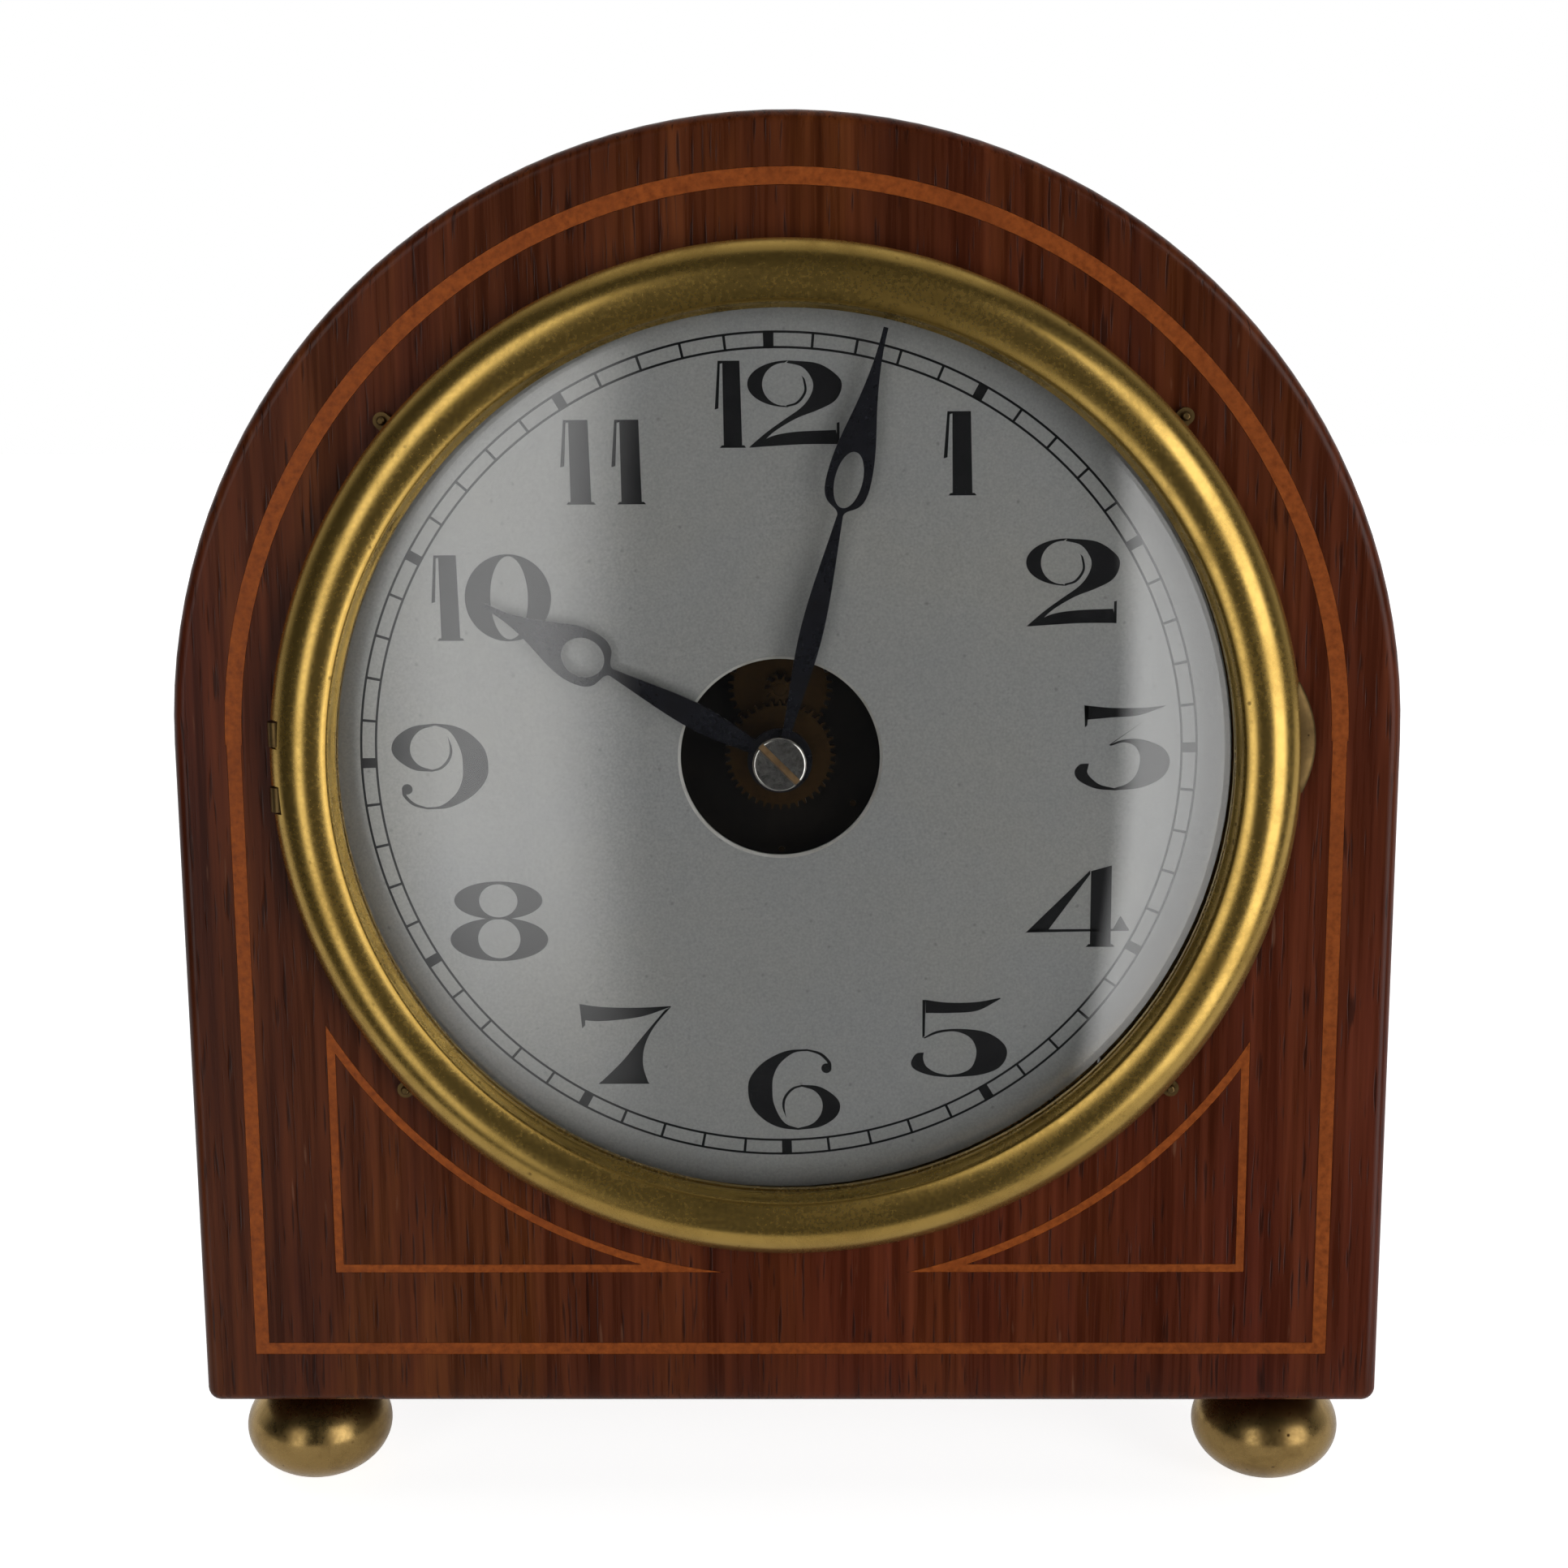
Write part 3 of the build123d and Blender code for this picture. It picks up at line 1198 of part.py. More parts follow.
def add_knuckle(height, length, towards):
    """Adds a hinge barrel centred on a height, with the tongue that joins it to its leaf on one side."""
    with BuildSketch(level(height - length / 2)) as section:
        with Locations((door_axis_x, door_axis_y)):
            Circle(door_barrel_radius)
        with Locations((door_axis_x, back_face_y)):
            Rectangle(door_leaf_start + running_clearance, door_leaf_thickness,
                      align=(Align.MIN if towards > 0 else Align.MAX, Align.MIN))
        with Locations((door_axis_x, door_axis_y)):
            Circle(door_pin_radius + running_clearance, mode=Mode.SUBTRACT)
    extrude(section.sketch, amount=length)


def add_leaf(height, towards):
    """Adds a hinge leaf flat on the back, on one side of the hinge line."""
    with BuildSketch(level(height - door_leaf_height / 2)) as section:
        with Locations((door_axis_x + towards * door_leaf_start, back_face_y)):
            Rectangle(door_leaf_width, door_leaf_thickness,
                      align=(Align.MIN if towards > 0 else Align.MAX, Align.MIN))
    extrude(section.sketch, amount=door_leaf_height)


with BuildPart() as door_hinge_leaves:
    for z in door_hinge_heights:
        add_leaf(z, -1)
        add_knuckle(z, door_middle_height, -1)

with BuildPart() as frame_hinge_leaves:
    for z in door_hinge_heights:
        add_leaf(z, 1)
    for z in frame_knuckles:
        add_knuckle(z, door_knuckle_height, 1)

with BuildPart() as door_hinge_pins:
    for z in door_hinge_heights:
        with BuildSketch(level(z - door_leaf_height / 2)):
            with Locations((door_axis_x, door_axis_y)):
                Circle(door_pin_radius)
        extrude(amount=door_leaf_height)

button_front = case_depth + side_clearance
button_back = button_front + button_thickness
with BuildPart() as turn_button:
    with BuildSketch(facing(button_back)):
        with Locations(button_place):
            SlotOverall(button_length, button_width, rotation=90)
            Circle(button_screw_radius + running_clearance, mode=Mode.SUBTRACT)
    extrude(amount=button_thickness)

with BuildPart() as button_screw:
    add_disc(button_place, button_screw_radius, case_depth - button_screw_bite, button_back + seat_clearance)
    add_disc(button_place, button_head_radius, button_back + seat_clearance,
             button_back + seat_clearance + button_head_height)

os.makedirs("parts", exist_ok=True)
pieces = {
    "front_panel": front_panel, "arch_band": arch_band, "base_board": base_board, "back_board": back_board,
    "inlay_arch": inlay_arch, "inlay_legs": inlay_legs, "inlay_base": inlay_base,
    "inlay_spandrels": inlay_spandrels, **feet,
    "bezel_seat_ring": bezel_seat_ring, "bezel_pins": bezel_pins, "bezel": bezel,
    "bezel_hinge_pin": bezel_hinge_pin, "dome_glass": dome_glass, "glass_ring": glass_ring,
    "dial_plate": dial_plate, "dial_feet": dial_feet, "minute_hand": minute_hand, "hour_hand": hour_hand,
    "hand_nut": hand_nut, "mounting_bars": mounting_bars, "bar_screws": bar_screws,
    "front_plate": front_plate, "rear_plate": rear_plate, "pillars": pillars, "pillar_screws": pillar_screws,
    "centre_arbor": centre_arbor, "centre_wheel": centre_wheel, "cannon_pinion": cannon_pinion,
    "hour_wheel": hour_wheel, "minute_wheel": minute_wheel, "minute_post": minute_post,
    "third_wheel": third_wheel, "ratchet_wheel": ratchet_wheel, "suspension_post": suspension_post,
    "suspension_hanger": suspension_hanger, "suspension_spring": suspension_spring,
    "pendulum_rod": pendulum_rod,
    "drive_pawl": drive_pawl, "pendulum_magnet": pendulum_magnet, "magnet_clamp": magnet_clamp,
    "rating_nut": rating_nut, "contact_block": contact_block, "contact_strip": contact_strip,
    "coil_bobbin": coil_bobbin, "coil_winding": coil_winding, "coil_bracket": coil_bracket,
    "battery_cell": battery_cell, "battery_terminals": battery_terminals, "lead_wires": lead_wires,
    "back_door": back_door, "door_knob": door_knob, "door_hinge_leaves": door_hinge_leaves,
    "frame_hinge_leaves": frame_hinge_leaves, "door_hinge_pins": door_hinge_pins, "turn_button": turn_button,
    "button_screw": button_screw,
}
for name, piece in pieces.items():
    piece.part.label = name
    export_step(piece.part, os.path.join("parts", f"{name}.step"))
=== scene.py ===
import logging
from dataclasses import dataclass, field
from enum import Enum
from math import cos, pi, radians, sin

import bmesh
import bpy
import numpy as np
from mathutils import Matrix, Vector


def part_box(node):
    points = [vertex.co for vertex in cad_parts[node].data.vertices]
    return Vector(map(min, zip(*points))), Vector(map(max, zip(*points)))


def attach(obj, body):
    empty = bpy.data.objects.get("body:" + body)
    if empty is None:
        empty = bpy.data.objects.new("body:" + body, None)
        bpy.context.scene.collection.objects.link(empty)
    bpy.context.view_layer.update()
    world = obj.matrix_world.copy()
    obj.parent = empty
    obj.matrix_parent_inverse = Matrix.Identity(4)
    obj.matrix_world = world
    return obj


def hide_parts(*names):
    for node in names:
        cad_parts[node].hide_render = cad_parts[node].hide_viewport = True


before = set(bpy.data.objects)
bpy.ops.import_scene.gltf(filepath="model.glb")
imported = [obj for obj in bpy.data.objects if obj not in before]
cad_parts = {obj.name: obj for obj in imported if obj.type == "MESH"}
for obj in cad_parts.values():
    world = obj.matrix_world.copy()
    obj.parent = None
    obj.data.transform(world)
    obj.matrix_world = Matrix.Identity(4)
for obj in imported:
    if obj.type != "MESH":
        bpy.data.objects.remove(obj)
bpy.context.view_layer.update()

LOG = logging.getLogger("mantel_clock")
MM = 0.001
WELD = 1e-7
IMAGE_SIZE = 1932
SENSOR_WIDTH = 36.0
COIL_TILT = 24.0
MINUTES = 60
HOURS = 12

Piece = bpy.types.Object
Socket = bpy.types.NodeSocket
Material = bpy.types.Material
Colour = tuple[float, float, float]
Point2 = tuple[float, float]
Point3 = tuple[float, float, float]


class Grain(Enum):
    """Which way a wooden piece's grain runs."""
    UPRIGHT = "upright"
    CROSSWISE = "crosswise"
    ROUND_THE_BEND = "round the bend"


class Axis(Enum):
    """Which way a turned piece's axis points."""
    FORWARD = "forward"
    UP = "up"


def middle_of(node: str) -> np.ndarray:
    """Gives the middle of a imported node's box, in millimetres.

    Args:
        node: The node's name.

    Returns:
        The three coordinates.
    """
    low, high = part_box(node)
    return np.array([(first + second) / 2 for first, second in zip(low, high)]) / MM


@dataclass(frozen=True)
class Places:
    """Where the case, bezel and dial lie, in millimetres, read from the frame."""
    front: float
    back: float
    half_width: float
    bottom: float
    arch: float
    bezel: float
    dial_x: float
    dial_z: float
    dial_face: float

    @classmethod
    def read(cls) -> "Places":
        """Reads the places from the boxes of the nodes that fix them.

        Returns:
            The places in millimetres.
        """
        panel_low, panel_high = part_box("front_panel")
        dial_x, _, dial_z = middle_of("dial_plate")
        return cls(
            front=panel_low.y / MM, back=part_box("back_board")[1].y / MM, half_width=panel_high.x / MM,
            bottom=panel_low.z / MM, arch=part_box("inlay_legs")[1].z / MM, bezel=middle_of("dome_glass")[2],
            dial_x=dial_x, dial_z=dial_z, dial_face=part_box("dial_plate")[0].y / MM)


def grid_faces(rows: int, columns: int, wrap_rows: bool = False, wrap_columns: bool = False) -> np.ndarray:
    """Works out the quads of a grid of points, each joining a point to the next one along and across.

    Args:
        rows: How many rows of points there are.
        columns: How many points each row has.
        wrap_rows: Joins the last row to the first.
        wrap_columns: Joins the last point of each row to its first.

    Returns:
        Point indices, four to a face.
    """
    row, column = np.meshgrid(np.arange(rows if wrap_rows else rows - 1),
                              np.arange(columns if wrap_columns else columns - 1), indexing="ij")
    next_row, next_column = (row + 1) % rows, (column + 1) % columns
    corners = [row * columns + column, row * columns + next_column,
               next_row * columns + next_column, next_row * columns + column]
    return np.stack(corners, axis=-1).reshape(-1, 4)


def make_piece(name: str, points: np.ndarray, faces: list, closed: bool = True,
               sharp: float = 40.0) -> Piece:
    """Makes a smooth mesh object, with its doubles merged and its faces turned outwards.

    Args:
        name: The piece's name.
        points: Points in millimetres, three to a row.
        faces: Point indices of each face.
        closed: Whether the surface is closed; an open one faces the front.
        sharp: Edges that bend by more than this many degrees stay sharp.

    Returns:
        The new object, linked to the scene.
    """
    mesh = bpy.data.meshes.new(name)
    mesh.from_pydata((np.asarray(points) * MM).tolist(), [], faces)
    work = bmesh.new()
    work.from_mesh(mesh)
    bmesh.ops.remove_doubles(work, verts=work.verts, dist=WELD)
    bmesh.ops.recalc_face_normals(work, faces=work.faces)
    if not closed and sum(face.normal.y * face.calc_area() for face in work.faces) > 0:
        bmesh.ops.reverse_faces(work, faces=work.faces)
    work.to_mesh(mesh)
    work.free()
    mesh.polygons.foreach_set("use_smooth", np.ones(len(mesh.polygons), dtype=bool))
    mesh.set_sharp_from_angle(angle=radians(sharp))
    piece = bpy.data.objects.new(name, mesh)
    bpy.context.scene.collection.objects.link(piece)
    return piece


def arc_through(start: Point2, middle: Point2, end: Point2, count: int) -> np.ndarray:
    """Samples the circular arc through three points, from the circle whose centre is equally far from all.

    Args:
        start: The arc's first point.
        middle: A point on the arc.
        end: The arc's last point.
        count: How many points to give.

    Returns:
        Points along the arc, two to a row.
    """
    a, b, c = (np.array(p, float) for p in (start, middle, end))
    system = 2 * np.array([b - a, c - a])
    centre = np.linalg.solve(system, np.array([b @ b - a @ a, c @ c - a @ a]))
    angles = [np.arctan2(*(p - centre)[::-1]) for p in (a, b, c)]
    sweep = (angles[2] - angles[0]) % (2 * pi)
    if (angles[1] - angles[0]) % (2 * pi) > sweep:
        sweep -= 2 * pi
    turn = angles[0] + sweep * np.linspace(0, 1, count)
    return centre + np.hypot(*(a - centre)) * np.stack([np.cos(turn), np.sin(turn)], axis=1)


def turned(profile: np.ndarray, steps: int, axis: Axis, origin: Point3) -> np.ndarray:
    """Carries a profile of radius and height round an axis: radius times the circle, plus height along it.

    Args:
        profile: Radius and height of each profile point.
        steps: How many stations go round.
        axis: Which way the axis points; heights go forward, out of the front, or up.
        origin: Where the axis starts.

    Returns:
        Points in rows, one row to a station.
    """
    turn = np.linspace(0, 2 * pi, steps, endpoint=False)[:, None]
    radius, height = profile[None, :, 0], profile[None, :, 1]
    across, over = radius * np.cos(turn), radius * np.sin(turn)
    along = np.broadcast_to(height, across.shape)
    if axis is Axis.UP:
        stack = [origin[0] + across, origin[1] + over, origin[2] + along]
    else:
        stack = [origin[0] + across, origin[1] - along, origin[2] + over]
    return np.stack(stack, axis=-1)


def lathe(name: str, profile: np.ndarray, steps: int, axis: Axis, origin: Point3,
          closed: bool = True) -> Piece:
    """Makes a turned piece from its profile.

    Args:
        name: The piece's name.
        profile: Radius and height of each profile point.
        steps: How many stations go round.
        axis: Which way the axis points.
        origin: Where the axis starts.
        closed: Whether the surface is closed.

    Returns:
        The new object.
    """
    points = turned(profile, steps, axis, origin).reshape(-1, 3)
    return make_piece(name, points, grid_faces(steps, len(profile), wrap_rows=True).tolist(), closed)


def mesh_points(mesh: bpy.types.Mesh) -> np.ndarray:
    """Reads the points of a mesh.

    Args:
        mesh: The mesh.

    Returns:
        Points in metres, three to a row.
    """
    flat = np.empty(len(mesh.vertices) * 3)
    mesh.vertices.foreach_get("co", flat)
    return flat.reshape(-1, 3)


class NodeSheet:
    """The node tree of a material or of the world, with short calls for the nodes that they share."""

    def __init__(self, owner: bpy.types.Material | bpy.types.World) -> None:
        """Empties the owner's tree and gives it an output.

        Args:
            owner: The material or world whose tree this is.
        """
        owner.use_nodes = True
        self.owner = owner
        self.tree = owner.node_tree
        self.tree.nodes.clear()
        kind = "World" if isinstance(owner, bpy.types.World) else "Material"
        self.output = self.tree.nodes.new(f"ShaderNodeOutput{kind}")

    @classmethod
    def for_finish(cls, name: str) -> "NodeSheet":
        """Starts the tree of a new material."""
        return cls(bpy.data.materials.new(name))

    def put(self, socket: Socket, value: object) -> None:
        """Links a socket to another one, or sets its value.

        Args:
            socket: The socket to fill.
            value: Another socket, a colour or a plain value.
        """
        if isinstance(value, bpy.types.NodeSocket):
            self.tree.links.new(value, socket)
        elif isinstance(value, tuple) and len(value) == 3 and socket.type == "RGBA":
            socket.default_value = (*value, 1.0)
        else:
            socket.default_value = value

    def add(self, kind: str, inputs: dict, **options: object) -> bpy.types.Node:
        """Adds a node.

        Args:
            kind: The node's type.
            inputs: A value or a socket for each named or numbered input.
            **options: Settings of the node itself.

        Returns:
            The new node.
        """
        node = self.tree.nodes.new(kind)
        for option, value in options.items():
            setattr(node, option, value)
        for key, value in inputs.items():
            self.put(node.inputs[key], value)
        return node

    def coordinates(self, output: str, scale: Point3,
                    turn: Point3 = (0.0, 0.0, 0.0)) -> Socket:
        """Gives a piece's own coordinates, stretched and turned.

        Args:
            output: Object or UV.
            scale: How many times each axis is stretched.
            turn: Rotation in radians.

        Returns:
            The vector socket.
        """
        source = self.add("ShaderNodeTexCoord", {}).outputs[output]
        return self.add("ShaderNodeMapping", {"Vector": source, "Scale": scale, "Rotation": turn}).outputs[0]

    def even(self, turn: Point3 = (0.0, 0.0, 0.0)) -> Socket:
        """Gives a piece's own coordinates without any stretch."""
        return self.coordinates("Object", (1.0, 1.0, 1.0), turn)

    def noise(self, vector: Socket, scale: float, detail: float = 3.0, rough: float = 0.5,
              distortion: float = 0.0) -> Socket:
        """Gives fractal noise at a scale, from 0 to 1 and mostly near a half."""
        return self.add("ShaderNodeTexNoise", {"Vector": vector, "Scale": scale, "Detail": detail,
                                               "Roughness": rough, "Distortion": distortion}).outputs["Fac"]

    def cells(self, vector: Socket, scale: float) -> Socket:
        """Gives the distance to the nearest of many scattered points."""
        return self.add("ShaderNodeTexVoronoi", {"Vector": vector, "Scale": scale}).outputs["Distance"]

    def ramp(self, factor: Socket, *stops: tuple[float, Colour]) -> Socket:
        """Gives a colour that runs through stops as a factor grows.

        Args:
            factor: The driving value.
            *stops: Places from 0 to 1, each with its colour.

        Returns:
            The colour socket.
        """
        node = self.add("ShaderNodeValToRGB", {"Fac": factor})
        elements = node.color_ramp.elements
        while len(elements) < len(stops):
            elements.new(0.5)
        for element, (place, colour) in zip(elements, stops):
            element.position = place
            element.color = (*colour, 1.0)
        return node.outputs["Color"]

    def span(self, value: Socket, low: float, high: float, to_low: float, to_high: float,
             kind: str = "LINEAR") -> Socket:
        """Gives a value moved from one range to another, and held within it."""
        return self.add("ShaderNodeMapRange", {"Value": value, "From Min": low, "From Max": high,
                                               "To Min": to_low, "To Max": to_high},
                        interpolation_type=kind).outputs[0]

    def window(self, value: Socket, low: Point2, high: Point2) -> Socket:
        """Gives 1 between two soft edges and 0 outside them.

        Args:
            value: The driving value.
            low: Where the lower edge starts and ends.
            high: Where the upper edge starts and ends.

        Returns:
            The value socket.
        """
        return self.combine("MULTIPLY", self.span(value, *low, 0.0, 1.0, "SMOOTHSTEP"),
                            self.span(value, *high, 1.0, 0.0, "SMOOTHSTEP"))

    def seen(self, polish: float) -> Socket:
        """Gives 1 where a ray comes from the camera or straight through glass, and a share off polish.

        Args:
            polish: What rays off polished pieces get.

        Returns:
            The value socket.
        """
        path = self.add("ShaderNodeLightPath", {}).outputs
        bounces = self.combine("ADD", path["Diffuse Depth"], path["Glossy Depth"])
        straight = self.combine("LESS_THAN", bounces, 0.5)
        through = self.combine("MULTIPLY", path["Is Transmission Ray"], straight)
        found = self.combine("MAXIMUM", path["Is Camera Ray"], through)
        return self.combine("MAXIMUM", found, self.combine("MULTIPLY", path["Is Glossy Ray"], polish))

    def blend(self, factor: Socket | float, first: Socket | Colour, second: Socket | Colour,
              kind: str = "MIX") -> Socket:
        """Gives a mix of two colours by a factor.

        Args:
            factor: The share of the second colour.
            first: The colour at 0.
            second: The colour at 1.
            kind: How the second is laid over the first.

        Returns:
            The colour socket.
        """
        node = self.add("ShaderNodeMix", {}, data_type="RGBA", blend_type=kind)
        self.put(node.inputs[0], factor)
        self.put(node.inputs[6], first)
        self.put(node.inputs[7], second)
        return node.outputs[2]

    def combine(self, kind: str, first: Socket | float, second: Socket | float) -> Socket:
        """Gives two values put together by a named operation, such as their product or the larger one."""
        return self.add("ShaderNodeMath", {0: first, 1: second}, operation=kind).outputs[0]

    def relief(self, height: Socket, distance: float, strength: float = 1.0) -> Socket:
        """Gives a surface normal bumped by a height of up to a distance in metres."""
        return self.add("ShaderNodeBump", {"Height": height, "Distance": distance,
                                           "Strength": strength}).outputs[0]

    def surface(self, inputs: dict) -> Material:
        """Ends the tree in one principled shader.

        Args:
            inputs: A value or a socket for each named input of the shader.

        Returns:
            The finished material.
        """
        shader = self.add("ShaderNodeBsdfPrincipled", inputs)
        self.tree.links.new(shader.outputs[0], self.output.inputs["Surface"])
        return self.owner


@dataclass(frozen=True)
class WoodFinish:
    """French-polished hardwood: a broad figure, fine streaks, open pores and pale flecks along the grain."""
    name: str
    grain: Grain
    dark: Colour
    middle: Colour
    light: Colour
    red: Colour
    gloss: float = 0.27
    figure_scale: float = 60.0
    streak_scale: float = 640.0
    broad_scale: float = 16.0
    pore_scale: float = 1900.0
    fleck_scale: float = 900.0
    fleck: Colour = (0.30, 0.15, 0.09)

    def material(self) -> Material:
        """Builds the finish: stretched noise for figure and streaks, thresholds of finer noise for pores.

        Returns:
            The material.
        """
        sheet = NodeSheet.for_finish(self.name)
        source = "UV" if self.grain is Grain.ROUND_THE_BEND else "Object"
        along = 2 if self.grain is Grain.UPRIGHT else 0

        def stretched(share: float) -> Socket:
            """Gives coordinates drawn out along the grain, which keep a share of their pace there."""
            return sheet.coordinates(source, tuple(share if axis == along else 1.0 for axis in range(3)))

        figure = sheet.noise(stretched(0.10), self.figure_scale, 5.0, 0.62, 0.5)
        streak = sheet.noise(stretched(0.030), self.streak_scale, 3.0, 0.6)
        broad = sheet.noise(stretched(0.35), self.broad_scale, 2.0)
        pore = sheet.noise(stretched(0.06), self.pore_scale, 1.0, 0.4)
        fleck = sheet.noise(stretched(0.10), self.fleck_scale, 1.0, 0.4, 0.2)
        colour = sheet.ramp(figure, (0.28, self.dark), (0.50, self.middle), (0.74, self.light))
        colour = sheet.blend(sheet.span(broad, 0.42, 0.68, 0.0, 0.65), colour, self.red)
        shade = sheet.ramp(streak, (0.30, (0.55, 0.50, 0.46)), (0.70, (1.42, 1.42, 1.36)))
        colour = sheet.blend(1.0, colour, shade, "MULTIPLY")
        pores = sheet.span(pore, 0.62, 0.72, 0.0, 0.70)
        colour = sheet.blend(pores, colour, tuple(0.3 * part for part in self.dark))
        flecks = sheet.span(fleck, 0.73, 0.80, 0.0, 0.25)
        colour = sheet.blend(flecks, colour, self.fleck)
        rough = sheet.span(streak, 0.3, 0.7, self.gloss - 0.05, self.gloss + 0.10)
        normal = sheet.relief(sheet.combine("MULTIPLY", pores, -1.0), 0.00006, 0.5)
        return sheet.surface({"Base Color": colour, "Roughness": rough, "Normal": normal,
                              "Specular IOR Level": 0.16})


@dataclass(frozen=True)
class InlayFinish:
    """Orange-brown stringing: plain pale wood under old polish, with short grain and darker stains."""
    name: str
    pale: Colour
    deep: Colour
    grain_scale: float = 900.0
    stain_scale: float = 70.0

    def material(self) -> Material:
        """Builds the finish from fine noise for grain and broad noise for stains.

        Returns:
            The material.
        """
        sheet = NodeSheet.for_finish(self.name)
        even = sheet.even()
        grain = sheet.noise(even, self.grain_scale, 3.0, 0.6)
        stain = sheet.noise(even, self.stain_scale, 3.0, 0.6)
        colour = sheet.ramp(grain, (0.30, self.deep), (0.65, self.pale))
        colour = sheet.blend(sheet.span(stain, 0.50, 0.75, 0.0, 0.6), colour, self.deep)
        rough = sheet.span(grain, 0.3, 0.7, 0.34, 0.46)
        return sheet.surface({"Base Color": colour, "Roughness": rough,
                              "Normal": sheet.relief(grain, 0.00002, 0.5), "Specular IOR Level": 0.2})


@dataclass(frozen=True)
class MetalFinish:
    """Bare metal with a tarnish that comes and goes, small pits, and darkening read from the mesh: tarnish
    and painted shade near a groove, painted shade on low faces.
    """
    name: str
    bright: Colour
    tarnish: Colour
    pit: Colour
    polish: float
    dullness: float
    tarnish_scale: float = 70.0
    pit_scale: float = 520.0
    pit_share: float = 0.6
    metal: float = 1.0
    fine_scale: float = 1600.0
    patch_scale: float = 150.0

    def material(self) -> Material:
        """Builds the finish: broad noise for tarnish, cell distances for pits, and the mesh's darkening,
        which is tarnish and painted shade by the groove and painted shade low down.

        Returns:
            The material.
        """
        sheet = NodeSheet.for_finish(self.name)
        even = sheet.even()
        cloud = sheet.noise(even, self.tarnish_scale, 5.0, 0.65, 0.4)
        fine = sheet.noise(even, self.fine_scale, 2.0, 0.5)
        # The mesh's darkening pulls towards the tarnish colour: tarnish and painted shade near the bezel's
        # groove, painted shade on its low faces by the case.
        groove_tarnish_and_shade = sheet.add("ShaderNodeAttribute", {}, attribute_name="groove_tarnish_and_shade").outputs["Fac"]
        tarnish_and_shade_share = sheet.combine("MAXIMUM", sheet.span(cloud, 0.42, 0.70, 0.0, 0.75), groove_tarnish_and_shade)
        colour = sheet.blend(tarnish_and_shade_share, self.bright, self.tarnish)
        pitted = sheet.span(sheet.cells(even, self.pit_scale), 0.05, 0.15, 1.0, 0.0)
        patch = sheet.span(sheet.noise(even, self.patch_scale, 2.0), 0.50, 0.60, 0.0, self.pit_share)
        pits = sheet.combine("MULTIPLY", pitted, patch)
        colour = sheet.blend(pits, colour, self.pit)
        rough = sheet.combine("ADD", sheet.span(tarnish_and_shade_share, 0.0, 1.0, self.polish, self.dullness),
                              sheet.span(fine, 0.3, 0.7, -0.03, 0.05))
        rough = sheet.combine("ADD", rough, sheet.span(pits, 0.0, 1.0, 0.0, 0.2))
        height = sheet.combine("SUBTRACT", sheet.combine("MULTIPLY", fine, 0.06), pits)
        normal = sheet.relief(height, 0.00003, 0.5)
        return sheet.surface({"Base Color": colour, "Metallic": self.metal, "Roughness": rough,
                              "Normal": normal})


@dataclass(frozen=True)
class SilveredFinish:
    """Silvered dial: a satin grey grain, faint clouds of warm tarnish and a few grey spots."""
    name: str
    grey: Colour
    warm: Colour
    spot: Colour
    grain_scale: float = 2600.0
    cloud_scale: float = 22.0
    spot_scale: float = 260.0
    metal: float = 0.8

    def material(self) -> Material:
        """Builds the finish from fine grain, broad clouds and sparse spots.

        Returns:
            The material.
        """
        sheet = NodeSheet.for_finish(self.name)
        even = sheet.even()
        grain = sheet.noise(even, self.grain_scale, 2.0, 0.6)
        cloud = sheet.noise(even, self.cloud_scale, 4.0, 0.6, 0.3)
        spots = sheet.span(sheet.cells(even, self.spot_scale), 0.03, 0.10, 0.45, 0.0)
        colour = sheet.blend(sheet.span(cloud, 0.40, 0.66, 0.0, 0.8), self.grey, self.warm)
        shade = sheet.ramp(grain, (0.25, (0.86, 0.86, 0.86)), (0.75, (1.12, 1.12, 1.12)))
        colour = sheet.blend(1.0, colour, shade, "MULTIPLY")
        colour = sheet.blend(spots, colour, self.spot)
        rough = sheet.span(grain, 0.3, 0.7, 0.31, 0.40)
        return sheet.surface({"Base Color": colour, "Roughness": rough, "Metallic": self.metal,
                              "Normal": sheet.relief(grain, 0.00001, 0.4)})


@dataclass(frozen=True)
class GlassFinish:
    """Clear dome glass with a faint film of handling marks, which lets the lamps reach the dial."""
    name: str
    clear: Colour = (0.985, 0.99, 0.985)
    index: float = 1.48
    film_scale: float = 55.0

    def material(self) -> Material:
        """Builds the finish: a glass shader that lamps pass straight through.

        Returns:
            The material.
        """
        sheet = NodeSheet.for_finish(self.name)
        even = sheet.even()
        film = sheet.span(sheet.noise(even, self.film_scale, 4.0, 0.6), 0.50, 0.80, 0.0, 0.05)
        glass = sheet.add("ShaderNodeBsdfPrincipled", {
            "Base Color": self.clear, "Roughness": film, "IOR": self.index, "Transmission Weight": 1.0})
        lamp = sheet.add("ShaderNodeLightPath", {}).outputs["Is Shadow Ray"]
        through = sheet.add("ShaderNodeBsdfTransparent", {"Color": self.clear})
        mix = sheet.add("ShaderNodeMixShader", {0: lamp, 1: glass.outputs[0], 2: through.outputs[0]})
        sheet.tree.links.new(mix.outputs[0], sheet.output.inputs["Surface"])
        return sheet.owner


